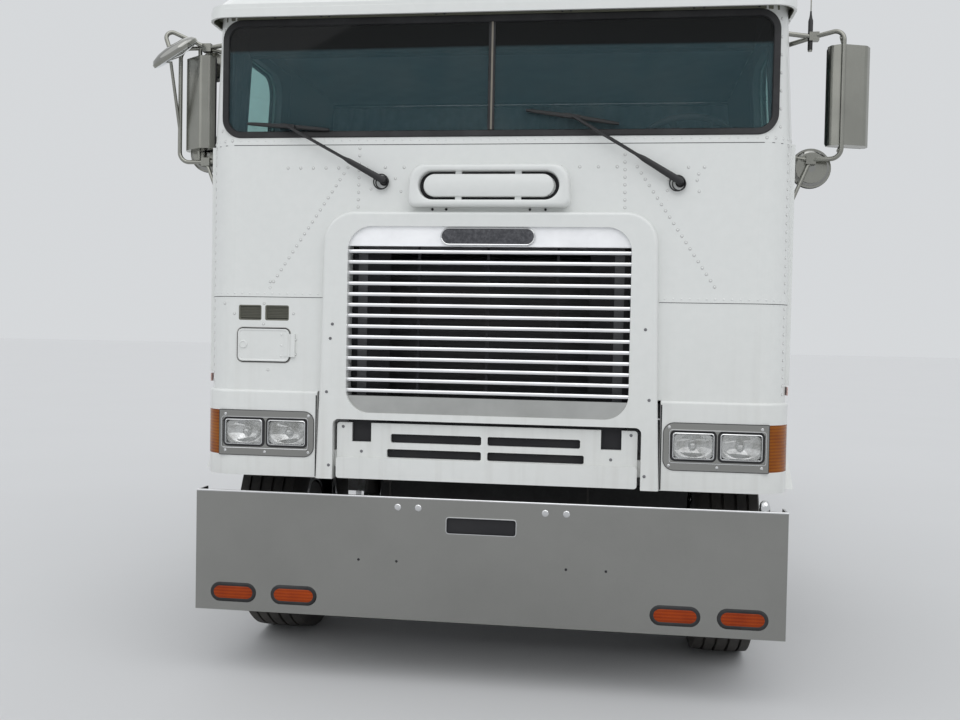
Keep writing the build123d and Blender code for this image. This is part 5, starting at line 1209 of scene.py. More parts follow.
soft = (0.062, 0.062, 0.030, 0.030)
oval = POCKET[1] / 2
edge_rows = mm((0, 76), (0, 46), (-2, 36), (-8, 27), (-18, 22.5), (-30, 21.5))
rows = [(grown(SCOOP_BODY, more), soft, s) for more, s in edge_rows]
rows += [(grown(POCKET, 0.010), oval + 0.005, 0.0220), (grown(POCKET, 0.004), oval + 0.0019, 0.0235),
         (POCKET, oval - 0.0001, 0.0280), (grown(POCKET, -0.004), oval - 0.0021, 0.0610)]
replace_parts(scoop_mesh("scoop_shell", rows, 60.0), "vent_scoop")
inner_rows = [(INNER, 0.0610), (INNER, 0.0345), (grown(INNER, -0.003), 0.0315),
              (grown(INNER, -0.009), 0.0300)]
scoop_mesh("scoop_panel", [(size, size[1] / 2 - 0.0001, s) for size, s in inner_rows], 50.0)
SCOOP_FLOOR_Y = FRONT_Y + 0.0605
# Black strip in the slot round the inner panel: painted shade.
SLOT_SECTION = mm((0, 0.3), (0, 1.2), (-14, 1.2), (-14, 0.3))
ring("scoop_slot", box_path((0, SCOOP_Z), (0.5755, 0.1145), 0.0572, 12), SLOT_SECTION, SCOOP_FLOOR_Y, DARK_PART_AND_SHADE)
# Posts: corners of one block, its faces, and the four places
POST = np.array([(x, y, z) for x in (-0.013, 0.013) for y in (0.0, -0.022) for z in (-0.010, 0.010)])
POST_FACES = [[0, 1, 3, 2], [4, 5, 7, 6], [0, 1, 5, 4], [2, 3, 7, 6], [0, 2, 6, 4], [1, 3, 7, 5]]
posts = [(x, SCOOP_FLOOR_Y, SCOOP_Z + z) for x in (-0.124, 0.122) for z in (-0.0515, 0.0515)]
points, faces = many(POST, POST_FACES, posts)
piece("scoop_posts", points, faces, CAB_WHITE, smooth=False)
places, normals = on_face([-0.237, -0.179, 0.169, 0.233], 1.976)
studs("scoop_screws", mm((5.5, 0), (5.5, 2), (2, 2.8)), 10, places, normals, DARK_PART_AND_SHADE)

# Reflectors on the front corners
for side_name, _, side in SIDES:
    place, _ = on_side([0.185], 1.252, side)
    corners = np.array(mm((-21, -17.5), (21, -17.5), (21, 17.5), (-21, 17.5)))
    levels = [(1.0, 0.0), (1.0, 0.0035), (0.8, 0.0055)]
    rows = np.stack([place + np.column_stack([np.full(4, side * out), k * corners]) for k, out in levels])
    piece(f"corner_reflector_{side_name}", rows, shut(3, 4), PALE_LENS, smooth=False)

# Brow: underside panel inside the roof's lip, dark with painted shade
BROW_Z = CAB_TOP - 0.0012
across = np.linspace(-1.198, 1.198, 61)
front_y = FRONT_Y + 0.026 + 0.095 * np.clip((np.abs(across) - 1.105) / 0.095, 0, 1) ** 2.2
back_y = FACE_Y + 0.004 + 0.10 * np.clip((np.abs(across) - 1.09) / 0.108, 0, 1) ** 2.0
depth_share = np.linspace(0, 1, 5)
brow_y = front_y[None] + (np.maximum(back_y, front_y + 0.01) - front_y)[None] * depth_share[:, None]
brow_dip = -0.0015 - 0.003 * np.sin(math.pi * depth_share)[:, None] * np.ones(61)[None]
brow = np.stack([np.broadcast_to(across, (5, 61)), brow_y, BROW_Z + brow_dip], -1)
walled(piece("brow_underside", brow, quads(5, 61), BROW_PAINTED_SHADE), 0.0010)

# Bright end piece that shows over the bumper on the driver's side
END_PIECE = mm((21, -20), (21, 22), (18, 34), (11, 42), (3, 45))
studs("bumper_end_piece", END_PIECE, 28, [(1.132, FRONT_Y + 0.043, 0.776)], UP, CHROME, 50.0, "chassis")

# Black sheet of painted shade under the face, behind the bumper, from the tilt barrel to the driver's side
shade_sheet = np.array([(x, FRONT_Y + 0.222, z) for z in (0.560, 0.836) for x in (-0.470, 0.840)])
walled(piece("painted_shade_sheet", shade_sheet, [[0, 1, 3, 2]], FLAP, "chassis", smooth=False), 0.004)

# Wipers: each arm tapers from a broad head to a flat bar that carries the blade
# In millimetres: pivot x and z, blade start x and z, blade end x and z
WIPERS = [(-443, 2093, -1037, 2335, -681, 2306), (773, 2086, 146, 2380, 524, 2321)]
ARM_SECTION = mirrored((-0.5, -0.005), (-0.5, 0.003), (-0.28, 0.007))
BRIDGE_SECTION = mirrored((-0.0090, -0.003), (-0.0090, 0.003), (-0.0042, 0.007))
BLADE_RUBBER = mirrored((-0.0015, -0.0112), (-0.0035, -0.003))
PIVOT_ROWS = mm((20, 0), (20, 6), (14, 10), (12.5, 28), (9, 34), (4, 35))
for index, row in enumerate(WIPERS):
    pivot, first, last = (np.array([row[k], 0.0, row[k + 1]]) * MM for k in (0, 2, 4))
    blade_y = FRONT_Y + 0.0662
    middle = (first + last) / 2
    share = np.linspace(0.0, 1.0, 33)[:, None]
    route = pivot + (middle - pivot) * share
    route[:, 1] = FRONT_Y + 0.047 - 0.010 * np.sin(math.pi * share[:, 0]) - 0.004 * share[:, 0]
    t = share[:, 0]
    widths = np.where(t < 0.34, 0.029 - 0.020 * t, np.where(t < 0.40, 0.0222 - 0.16 * (t - 0.34), 0.0126))
    arm = band(f"wiper_arm_{index + 1}", route, AHEAD, ARM_SECTION, TRIM, widths=widths)
    if index == 0:
        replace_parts(arm, "wipers")
    along = np.linspace(0.0, 1.0, 25)[:, None]
    spine = first + (last - first) * along
    spine[:, 1] = blade_y - 0.004 * np.sin(math.pi * along[:, 0])
    taper = 0.55 + 0.45 * np.sin(math.pi * along[:, 0]) ** 0.5
    band(f"wiper_bridge_{index + 1}", spine, AHEAD, BRIDGE_SECTION, TRIM, widths=taper)
    edge = spine.copy()
    edge[:, 1] = blade_y
    band(f"wiper_rubber_{index + 1}", edge, AHEAD, BLADE_RUBBER, SEAL)
    saddle = middle + (last - first) * np.linspace(-0.09, 0.09, 7)[:, None]
    saddle[:, 1] = FRONT_Y + 0.0530
    band(f"wiper_saddle_{index + 1}", saddle, AHEAD, strip(0.017, 0.007, 0.012), TRIM)
    foot = np.array([pivot[0], FACE_Y, pivot[2]])
    studs(f"wiper_pivot_{index + 1}", PIVOT_ROWS, 20, [foot], AHEAD, TRIM, 35.0)
    turn = np.linspace(0, 2 * math.pi, 29)[:-1]
    for loop, (dx, dz, size) in enumerate(((-0.012, -0.004, 0.031), (-0.006, -0.008, 0.026))):
        circle = foot + np.stack([dx + size * np.cos(turn), -0.012 - 0.006 * loop + 0 * turn,
                                  dz + size * np.sin(turn)], -1)
        rod(f"wiper_loop_{index + 1}_{loop + 1}", circle, 0.0028, TRIM, BACK, closed=True)

# Doors: rubber round each window, pull handle, lock and hinge rivets, with grab handle feet behind them

WINDOW_RUBBER = mirrored((-0.013, -0.010), (-0.013, 0.002), (-0.009, 0.0045))
GRIP_SECTION = mirrored((-0.0145, -0.0135), (-0.0145, 0.010), (-0.009, 0.0155))
LOCK = mm((16, 0), (16, 3), (12, 6), (4, 6))
HANDLE_DISH = mm((62, 0), (62, 1.5), (55, 2.2), (12, 0.8))
GRAB_FOOT = mm((30, 0), (30, 4), (23, 8), (14.8, 10))
HINGE_RIVET = mm((5.5, 0), (4, 2.5), (1.5, 3.2))
# The joint line and the raised edge: size, corner radius, section and finish
BAGGAGE_EDGES = [("joint", (0.800, 0.450), 0.035, strip(0.005, 0.0006), DARK_PART_AND_SHADE),
                 ("edge", (0.770, 0.420), 0.028, mirrored((-0.010, -0.001), (-0.007, 0.0030)), CAB_WHITE)]
BAGGAGE_LATCH = mm((30, 0), (30, 4), (24, 7), (22, 3), (6, 3))
REFLECTOR = mm((36, 0), (36, 5), (30, 9), (6, 11))
REFLECTOR_RIM = mm((42, 0), (42, 4), (39, 7), (36.5, 6))
# Windows of a door: centre (s, z), size and corner radii from the rear upper corner on, in metres
MAIN_WINDOW = ((0.599, 2.501), (0.430, 0.422), (0.110, 0.025, 0.025, 0.045))
VENT_WINDOW = ((0.3155, 2.501), (0.065, 0.422), (0.015, 0.015, 0.015, 0.015))


def side_studs(name, rows, sides, s, z, finish, crisp=None, body="cab", proud=0.0):
    """Small turned shapes on the side that is being made."""
    where, outward = on_side(s, z, side, proud)
    studs(f"{name}_{side_name}", rows, sides, where, outward, finish, crisp, body)


for side_name, door_name, side in SIDES:
    door = f"{door_name}_door"
    main, _ = box_path(*MAIN_WINDOW)
    vent, _ = box_path(*VENT_WINDOW)
    slope = (vent[:, 1] > 2.501) * (0.348 - vent[:, 0]) / 0.065
    vent[:, 1] -= 0.030 * slope
    for window_name, flat in (("main", main), ("vent", vent)):
        path, normals = on_side(*flat.T, side)
        band(f"window_rubber_{window_name}_{side_name}", path, normals, WINDOW_RUBBER, SEAL, door,
             closed=True)
    grip, normals = on_side(np.linspace(0.779, 0.861, 9), 1.7125, side, 0.014)
    band(f"door_grip_{side_name}", grip, normals, GRIP_SECTION, CHROME, door)
    side_studs("door_lock", LOCK, 20, [0.835], 1.655, CHROME, 30.0, door)
    side_studs("handle_dish", HANDLE_DISH, 32, [0.820], 1.7125, CHROME, 30.0, door)
    side_studs("grab_feet", GRAB_FOOT, 24, [0.992, 0.992], [1.330, 2.140], CHROME, 30.0)
    side_studs("hinge_rivets", HINGE_RIVET, 8, np.full(17, 0.244), np.linspace(1.290, 2.240, 17), CAB_WHITE,
               None, door, 0.003)
    # Baggage door low down behind the wheel arch, with two pull latches, and the round side reflectors
    for edge_name, size, radius, section, finish in BAGGAGE_EDGES:
        path, normals = on_side(*box_path((2.375, 1.335), size, radius)[0].T, side)
        band(f"baggage_{edge_name}_{side_name}", path, normals, section, finish, closed=True)
    side_studs("baggage_latches", BAGGAGE_LATCH, 24, [2.20, 2.55], 1.165, CHROME, 30.0)
    for lamp_name, section, finish in (("reflectors", REFLECTOR, AMBER),
                                       ("reflector_rims", REFLECTOR_RIM, CHROME)):
        side_studs(f"side_{lamp_name}", section, 28, [1.30, 2.78], [1.205, 1.100], finish, 40.0)

# Back wall: pressed ribs and a round work lamp
RIB = mirrored((-0.034, -0.001), (-0.022, 0.011))
for index, x in enumerate((-0.855, -0.285, 0.285, 0.855)):
    path = np.array([(x, BACK_Y, z) for z in np.linspace(1.075, 2.735, 7)])
    band(f"back_rib_{index + 1}", path, BACK, RIB, CAB_WHITE, crisp=25.0)
WORK_LAMP = (0.0, BACK_Y, 2.560)
studs("work_lamp_shell", mm((60, 0), (60, 30), (52, 36)), 32, WORK_LAMP, BACK, TRIM, 30.0)
studs("work_lamp_lens", mm((53, 34), (40, 40), (12, 43)), 32, WORK_LAMP, BACK, LAMP_GLASS)

# Mirrors: silvered faces, rubber edges and a black aerial foot

HEAD_FACE = (0.162, 0.392)
GLASS_PLATE = [(0.0, 0.001), (1.0, 0.001), (1.0, -0.0012), (0.0, -0.0012)]
EDGE_RUBBER = mm((-4, 4), (9, 4), (9, -2.2), (4, -4), (-4, -2.2))
# Place of each head (x, s, z), its turn in degrees, and its door
MIRROR_HEADS = [("left", 1.4659, 18.0, "driver_door"), ("right", -1.352, -35.0, "passenger_door")]
for side_name, head_x, angle, door in MIRROR_HEADS:
    placing = Matrix.Translation((head_x, FRONT_Y + 0.300, 2.472))
    placing = placing @ Matrix.Rotation(math.radians(angle), 4, "Z")
    outline = box_path((0.0, 0.0), HEAD_FACE, 0.006)
    face = capped(f"mirror_face_{side_name}", outline, (0, 0), GLASS_PLATE, 0.0270, SILVERED, body=door)
    edge = ring(f"mirror_edge_{side_name}", outline, EDGE_RUBBER, 0.0270, SEAL, body=door)
    face.data.transform(placing)
    edge.data.transform(placing)
# Round mirrors: x, s, z, radius, door. Their sections have the distance out as a share of the radius
ROUND_MIRRORS = [
    (1.324, 0.340, 2.182, 0.082, "driver_door"), (-1.306, 0.372, 2.660, 0.070, "passenger_door"),
    (-1.330, 0.368, 2.262, 0.084, "passenger_door"),
]
ROUND_FACE = [(0.93, 0.0), (0.90, 0.0015), (0.6, 0.0042), (0.25, 0.0058), (0.05, 0.0060)]
ROUND_RIM = [(1.0, -0.016), (1.02, -0.012), (1.02, 0.0), (0.94, 0.003), (0.92, 0.001)]
ROUND_BACK = [(1.0, 0.007), (0.99, 0.012), (0.86, 0.023), (0.55, 0.031), (0.20, 0.034), (0.03, 0.0345)]


def round_mirror(name, index, section, towards, finish, crisp=None):
    """One turned shape on a round mirror."""
    x, s, z, radius, door = ROUND_MIRRORS[index]
    rows = [(radius * out, up) for out, up in section]
    studs(f"round_mirror_{name}_{index + 1}", rows, 40, (x, FRONT_Y + s, z), towards, finish, crisp, door)


for index in range(len(ROUND_MIRRORS)):
    round_mirror("face", index, ROUND_FACE, BACK, SILVERED)
    round_mirror("rim", index, ROUND_RIM, BACK, SEAL, 50.0)
studs("aerial_foot", mm((10, 0), (10, 120), (7, 130), (4.5, 145), (3.5, 160)), 16,
      [(1.304, FRONT_Y + 0.300, 2.668)], UP, TRIM, 40.0, "driver_door")


# Inside the cab

# Header box over the windshield: its section, in metres: s, z
HEADER_ROWS = [(0.132, 2.782), (0.132, 2.652), (0.142, 2.640), (0.185, 2.638), (0.400, 2.700),
               (0.425, 2.782)]
path = np.array([(x, 0.0, 0.0) for x in np.linspace(-1.060, 1.060, 5)])
section = [(FRONT_Y + s, z) for s, z in HEADER_ROWS]
band("header_box", path, UP, section, HEADER, crisp=30.0)

QUILT_PITCH = 0.20
quilt_x, quilt_s = np.meshgrid(np.linspace(-1.122, 1.122, 67), np.linspace(0.140, 2.780, 79))
quilt_a, quilt_b = quilt_x / QUILT_PITCH, quilt_s / QUILT_PITCH
puff = np.abs(np.sin((quilt_a + quilt_b) * math.pi) * np.sin((quilt_a - quilt_b) * math.pi))
quilt = np.stack([quilt_x, FRONT_Y + quilt_s, 2.789 - 0.007 * puff ** 0.45], -1)
walled(piece("headliner", quilt, quads(79, 67), LINING), 0.003)

CURTAIN_S = 1.660
CURTAIN_LOW, CURTAIN_HIGH = 1.205, 2.752
fold_u, fold_v = np.meshgrid(np.linspace(-1, 1, 301), np.linspace(0, 1, 21))
fold_z = CURTAIN_LOW + (CURTAIN_HIGH - CURTAIN_LOW) * fold_v
fold_half = CAB_HALF - 0.075 + (TOP_HALF - CAB_HALF) * lean(fold_z)
fold_turn = fold_u * math.pi * 21 + 0.9 * np.sin(fold_u * 7.0) + 0.25 * np.sin(fold_v * 3.0 + fold_u * 11.0)
fold_deep = (0.030 - 0.014 * fold_v) * (0.75 + 0.25 * np.sin(fold_u * 13.0))
folds = np.stack([fold_u * fold_half, FRONT_Y + CURTAIN_S + fold_deep * np.sin(fold_turn), fold_z], -1)
curtain = walled(piece("sleeper_curtain", folds, quads(21, 301), CURTAIN_CLOTH), 0.0012, 0.0)
rail_path = np.array([(x, FRONT_Y + CURTAIN_S, 2.766) for x in np.linspace(-1.12, 1.12, 9)])
rod("curtain_rail", rail_path, 0.011, CHROME, BACK)

# Dials on the sloping part of the dashboard, in front of the driver, and the gear lever
dial_x = np.array([0.560, 0.665, 0.775, 0.885, 0.990])
dial_up = np.array([0.46, 0.46, 0.58, 0.58, 0.46])
dials = np.stack([dial_x, FRONT_Y + 0.560 - 0.140 * dial_up, 2.100 + 0.140 * dial_up], -1)
studs("dial_rims", mm((43, 0), (43, 10), (38, 12), (36.5, 6)), 32, dials, (0, 1, 1), CHROME, 40.0)
studs("dial_faces", mm((37, 5), (30, 6), (4, 6.2)), 32, dials, (0, 1, 1), HEADER)
lever = smooth_path([(0.300, FRONT_Y + 1.000, 1.385), (0.300, FRONT_Y + 0.990, 1.650),
                     (0.330, FRONT_Y + 1.010, 1.900)], 16)
rod("gear_lever", lever, 0.009, CHROME)
studs("gear_knob", mm((12, -10), (24, 4), (27, 22), (22, 40), (8, 46)), 20,
      [(0.330, FRONT_Y + 1.010, 1.900)], UP, TRIM)
gaiter = mm((85, 0), (80, 20), (60, 28), (62, 45), (42, 55), (43, 75), (18, 95))
studs("gear_gaiter", gaiter, 24, [(0.300, FRONT_Y + 0.997, 1.390)], UP, SEAL, 60.0)

# Seats and bunk

SEAT_X = 0.850


def block_shell(x, s, z, edge):
    """Closed block between pairs of x, s and z in millimetres, with its edges drawn in by a cut."""
    low = np.array([x[0], s[0], z[0]]) * MM + np.array([0.0, FRONT_Y, 0.0])
    high = np.array([x[1], s[1], z[1]]) * MM + np.array([0.0, FRONT_Y, 0.0])
    square = np.array([(0, 0), (1, 0), (1, 1), (0, 1)], float)
    levels = [(0.0, edge), (edge, 0.0), (-edge, 0.0), (0.0, edge)]
    rows = []
    for level, (rise, inset) in enumerate(levels):
        height = (low[2] if level < 2 else high[2]) + rise
        inner = low[:2] + inset + (high[:2] - low[:2] - 2 * inset) * square
        rows.append(np.column_stack([inner, np.full(4, height)]))
    return np.concatenate(rows), shut(4, 4)


def pad(name, centre, half, tilt, finish, crown, power=0.28, grain=0.022):
    """Cushion on a rounded block: each way is a cosine to a small power, with a crown on its upper face."""
    u, v = np.meshgrid(np.linspace(-math.pi, math.pi, 97)[:-1], np.linspace(-math.pi / 2, math.pi / 2, 49),
                       indexing="xy")

    def shaped(value):
        return np.sign(value) * np.abs(value) ** power

    x = half[0] * shaped(np.cos(v)) * shaped(np.cos(u))
    y = half[1] * shaped(np.cos(v)) * shaped(np.sin(u))
    z = half[2] * shaped(np.sin(v))
    z = z + crown * (z > 0) * np.cos(x / half[0] * 1.4) * np.cos(y / half[1] * 1.4)
    turn = np.array(Matrix.Rotation(tilt, 3, "X"))
    points = np.stack([x, y, z], -1) @ turn.T + np.array(centre)
    made = piece(name, points, quads(49, 96, wrap_columns=True), finish)
    puffed(made, 0.012, grain)
    fine = made.modifiers.new("fine", "SUBSURF")
    fine.levels = 1
    fine.render_levels = 1
    return made


def mesh_points(mesh):
    """The points of a mesh, one in each row."""
    flat = np.zeros(len(mesh.vertices) * 3)
    mesh.vertices.foreach_get("co", flat)
    return flat.reshape(-1, 3)


def puffed(made, reach, grain):
    """Blow the pad up as cloth, and keep each point within a reach of where it was."""
    shell = made.modifiers.new("voxels", "REMESH")
    shell.mode = "VOXEL"
    shell.voxel_size = grain
    depsgraph = bpy.context.evaluated_depsgraph_get()
    made.data = bpy.data.meshes.new_from_object(made.evaluated_get(depsgraph))
    made.modifiers.clear()
    rest = mesh_points(made.data)
    cloth = made.modifiers.new("cloth", "CLOTH")
    cloth.settings.use_pressure = True
    cloth.settings.uniform_pressure_force = 4.0
    cloth.settings.effector_weights.gravity = 0.0
    for step in range(1, 13):
        bpy.context.scene.frame_set(step)
    depsgraph = bpy.context.evaluated_depsgraph_get()
    blown = mesh_points(made.evaluated_get(depsgraph).to_mesh())
    made.modifiers.clear()
    move = blown - rest
    length = np.linalg.norm(move, axis=1, keepdims=True)
    move = move * np.minimum(1.0, reach / np.maximum(length, 1e-9))
    made.data.vertices.foreach_set("co", (rest + move).ravel())
    made.data.update()
    made.data.shade_smooth()
    bpy.context.scene.frame_set(1)


for side_name, _, side in SIDES:
    points, faces = block_shell((-170, 170), (880, 1260), (1190, 1600), 0.012)
    base = piece(f"seat_base_{side_name}", points + np.array([side * SEAT_X, 0, 0]), faces, DASH,
                 smooth=False)
    if side > 0:
        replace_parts(base, "seats_and_bunk")
    pad(f"seat_cushion_{side_name}", (side * SEAT_X, FRONT_Y + 1.075, 1.665), (0.235, 0.240, 0.055), 0.05,
        CLOTH, 0.010)
    pad(f"seat_back_{side_name}", (side * SEAT_X, FRONT_Y + 1.415, 2.075), (0.225, 0.325, 0.052),
        math.pi / 2 - 0.155, CLOTH, 0.010)
points, faces = block_shell((-1150, 1150), (1900, 2780), (1190, 1560), 0.010)
piece("bunk_base", points, faces, DASH, smooth=False)
pad("bunk_mattress", (0, FRONT_Y + 2.340, 1.625), (1.125, 0.415, 0.058), 0.0, BUNK_CLOTH, 0.008, 0.2,
    0.036)

# Black cups behind the bumper's lamps
LAMP_CUP = [(1.0, 0.026), (1.0, 0.002), (0.92, -0.004), (0.0, -0.004)]
for index, lamp_x in enumerate(BUMPER_LAMPS_X):
    outline = box_path((lamp_x, BUMPER_LAMP_Z), (0.178, 0.060), 0.0299, 16)
    capped(f"bumper_lamp_cup_{index + 1}", outline, OVAL_SPINE, LAMP_CUP, FRONT_Y + 0.040, TRIM,
           body="chassis")

# Look-down mirror: a domed back and a silvered lower face over the oval disc, in metres and degrees
OVAL_PLACE = (1.4427, FRONT_Y + 0.248, 2.684)
OVAL_HALF = (0.116, 0.074)
OVAL_TURNS = ((31.0, "Y"), (25.0, "X"))
OVAL_BACK = [(0.985, -0.001), (0.995, 0.003), (0.985, 0.014), (0.90, 0.027), (0.60, 0.039), (0.25, 0.044),
             (0.02, 0.045)]
OVAL_FACE = [(0.975, 0.001), (0.970, -0.002), (0.85, -0.008), (0.50, -0.014), (0.02, -0.017)]
placing = Matrix.Diagonal((-1.0, 1.0, 1.0, 1.0)) @ Matrix.Translation(OVAL_PLACE)
for angle, axis in OVAL_TURNS:
    placing = placing @ Matrix.Rotation(math.radians(angle), 4, axis)
turn = np.linspace(0, 2 * math.pi, 49)[:-1]
for shell_name, rows, finish in (("back", OVAL_BACK, PLATING_PAINTED_REFLECTION), ("face", OVAL_FACE, SILVERED)):
    points = np.array([[(OVAL_HALF[0] * out * math.cos(a), OVAL_HALF[1] * out * math.sin(a), up)
                        for a in turn] for out, up in rows])
    made = piece(f"oval_mirror_{shell_name}", points, shut(len(rows), len(turn), False), finish,
                 "passenger_door")
    made.data.transform(placing)
    outwards(made.data)
    creased(made, 50.0)

# Domed backs on the round mirrors
for index in range(len(ROUND_MIRRORS)):
    round_mirror("back", index, ROUND_BACK, AHEAD, PLATING_PAINTED_REFLECTION, 50.0)

# Sides of the cab: drip rails over the doors, kick strips and window trim
DRIP_RAIL = mm((-9, -1), (-9, 11), (-4, 16), (4, 7), (9, 4), (9, -1))
WINDOW_TRIM = mm((-6, -1), (-6, 4), (6, 6), (6, -1))
for side_name, door_name, side in SIDES:
    drip, normals = on_side(np.linspace(0.215, 0.985, 21), 2.7665, side)
    band(f"drip_rail_{side_name}", drip, normals, DRIP_RAIL, CAB_WHITE)
    sill_path, normals = on_side(np.linspace(0.240, 0.915, 15), 1.2075, side)
    band(f"door_kick_strip_{side_name}", sill_path, normals, strip(0.022, 0.0018), CHROME,
         f"{door_name}_door")
    # Narrow trim under the window
    sill_path, normals = on_side(np.linspace(0.262, 0.842, 15), 2.2745, side)
    band(f"window_trim_{side_name}", sill_path, normals, WINDOW_TRIM, TRIM, f"{door_name}_door")

# Rivets round the roof's rim
rim_s = np.arange(0.50, 2.80, 0.055)
for side_name, _, side in SIDES:
    places = [(side * 1.2102, FRONT_Y + s, CAB_TOP + 0.011) for s in rim_s]
    rivets(f"roof_rivets_{side_name}", places, (side, 0, 0), "cab", 0.0050)

# Tail lamps: centre x. Each is a red dome in a rubber ring
TAIL_LAMPS_X = (-0.260, -0.120, 0.120, 0.260)
TAIL_DOME = [(0.050, -0.030), (0.0505, 0.0), (0.0480, 0.0030), (0.036, 0.0062), (0.018, 0.0078),
             (0.003, 0.0082)]
TAIL_RUBBER = mm((58.5, -4), (59, 3), (55.5, 6), (51.2, 4.5), (50.5, -2))
tail_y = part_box("tail_lamps")[1][1] - 0.006
tail_places = [(x, tail_y, 0.876) for x in TAIL_LAMPS_X]
tail = studs("tail_lamp_domes", TAIL_DOME, 36, tail_places, BACK, RED, 50.0, "chassis")
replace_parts(tail, "tail_lamps")
studs("tail_lamp_rubbers", TAIL_RUBBER, 36, tail_places, BACK, SEAL, 50.0, "chassis")

# Mud flaps: top bar bolts and two pressed stiffening lines
FLAP_BOLT = mm((11, -2), (11, 6), (6, 6.5), (6, 13), (2, 14))
flap_y = FRONT_Y + 6.884
bolt_x = np.concatenate([np.linspace(-1.16, -0.64, 6), np.linspace(0.64, 1.16, 6)])
studs("flap_bolts", FLAP_BOLT, 6, [(x, flap_y, 0.858) for x in bolt_x], BACK, IRON, 30.0, "chassis")
for index, (x, z) in enumerate(((-0.901, 0.300), (0.901, 0.300), (-0.901, 0.800), (0.901, 0.800))):
    path = np.array([(x + offset, flap_y, z) for offset in np.linspace(-0.285, 0.285, 5)])
    band(f"flap_rib_{index + 1}", path, BACK, mirrored((-0.010, -0.001), (-0.006, 0.003)), FLAP, "chassis")

# Frame rails: two rows of bolts on the outer webs
RAIL_WEB_X = 0.432
RAIL_BOLT = mm((13.5, 0), (13.5, 3), (9, 5), (9, 12), (3, 14))
rail_s = np.concatenate([np.arange(3.30, 4.20, 0.15), np.arange(4.36, 6.70, 0.13)])
for side_name, _, side in SIDES:
    spots = [(side * RAIL_WEB_X, FRONT_Y + s, z) for s in rail_s for z in (0.735, 0.895)]
    studs(f"rail_bolts_{side_name}", RAIL_BOLT, 8, spots, (side, 0, 0), CHASSIS_BLACK, 30.0, "chassis")

# Fifth wheel: grease grooves across its plate, the lock in its throat, its pull handle and wear buttons
plate_low, plate_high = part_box("fifth_wheel_plate")
plate_y = (plate_low[1] + plate_high[1]) / 2
for index, radius in enumerate((0.215, 0.305)):
    turn = np.radians(np.linspace(-60, 240, 41))
    groove = np.stack([radius * np.cos(turn), plate_y - 0.02 - radius * 0.62 * np.sin(turn),
                       np.full(41, plate_high[2])], -1)
    band(f"grease_groove_{index + 1}", groove, UP, strip(0.014, 0.0004), HEADER, "fifth_wheel")
jaw = mm((62, -40), (62, -4), (56, -1), (30, -1), (26, -6), (26, -40))
studs("kingpin_jaw", jaw, 28, [(0.0, plate_y - 0.02, plate_high[2])], UP, GREASED, 30.0, "fifth_wheel")
handle = [(x, plate_y - back, plate_high[2] - drop) for x, back, drop in (
    (0.10, 0.22, 0.055), (0.42, 0.23, 0.058), (0.55, 0.23, 0.060), (0.575, 0.20, 0.060))]
rod("release_handle", smooth_path(handle, 24), 0.008, CHASSIS_BLACK, UP, body="fifth_wheel")
plate_bolts = [(x, plate_y + dy, plate_high[2]) for x in (-0.36, 0.36) for dy in (-0.16, 0.10)]
studs("plate_wear_buttons", mm((20, 0), (20, 1.2), (8, 1.8)), 16, plate_bolts, UP, GREASED, 30.0,
      "fifth_wheel")

# Tanks, boxes and exhaust

TANK_X = 0.765
TANK_Z = 0.640
TANK_R = 0.305
STRAP_S = ((2.250, 2.310), (3.050, 3.110))
TANK_BEAD = mirrored((-0.006, -0.001), (-0.003, 0.0028))
STRAP_BOLT = mm((16, 0), (16, 20), (9, 21), (9, 45), (4, 46))
for side_name, _, side in SIDES:
    tank_x = side * TANK_X
    for index, (s0, s1) in enumerate(STRAP_S):
        middle = FRONT_Y + (s0 + s1) / 2
        turn = np.radians(np.linspace(-95, 140, 49))
        around, outward = arc((tank_x, middle, TANK_Z), TANK_R + 0.006, turn, (0, 2), side)
        band(f"tank_strap_edge_{side_name}_{index + 1}", around, outward, strip(0.046, 0.0022),
             CHROME, "chassis")
        bolt = (tank_x + side * 0.246, middle, TANK_Z - 0.225)
        studs(f"tank_strap_bolt_{side_name}_{index + 1}", STRAP_BOLT, 6, bolt, (side * 0.7, 0, -0.7), IRON,
              30.0, "chassis")
    for index, s in enumerate((2.075, 2.700, 3.305)):
        turn = np.radians(np.linspace(0, 360, 61))[:-1]
        bead, outward = arc((tank_x, FRONT_Y + s, TANK_Z), TANK_R + 0.001, turn, (0, 2))
        band(f"tank_bead_{side_name}_{index + 1}", bead, outward, TANK_BEAD, TANK_METAL, "chassis",
             closed=True)
    cap = mm((60, -4), (60, 12), (52, 18), (30, 18), (28, 28), (6, 30))
    studs(f"filler_cap_{side_name}", cap, 12, [(side * 0.895, FRONT_Y + 2.200, 0.958)], UP, CHROME, 30.0,
          "chassis")
    # Battery box: lid edge, two latches and round grips on its steps
    lid = np.array([(side * 1.1208, FRONT_Y + s, 0.845) for s in np.linspace(1.484, 1.976, 5)])
    band(f"box_lid_joint_{side_name}", lid, (side, 0.0, 0.0), strip(0.006, 0.0008), DARK_PART_AND_SHADE, "chassis")
    latch_places = [(side * 1.1205, FRONT_Y + s, 0.815) for s in (1.600, 1.860)]
    latch = mm((20, 0), (20, 6), (14, 10), (12, 30), (4, 32))
    studs(f"box_latches_{side_name}", latch, 4, latch_places, (side, 0, 0), CHROME, 30.0, "chassis")
    for level, (z, reach) in enumerate(((0.562, (1.140, 1.208)), (0.912, (1.130, 1.208)))):
        teeth = [(side * x, FRONT_Y + s, z) for s in np.arange(1.510, 1.960, 0.030)
                 for x in np.linspace(reach[0], reach[1], 3)]
        studs(f"step_grip_{side_name}_{level + 1}", mm((8.5, -1), (8, 2.8), (4.5, 3)), 8, teeth, UP, TREAD,
              30.0, "chassis")

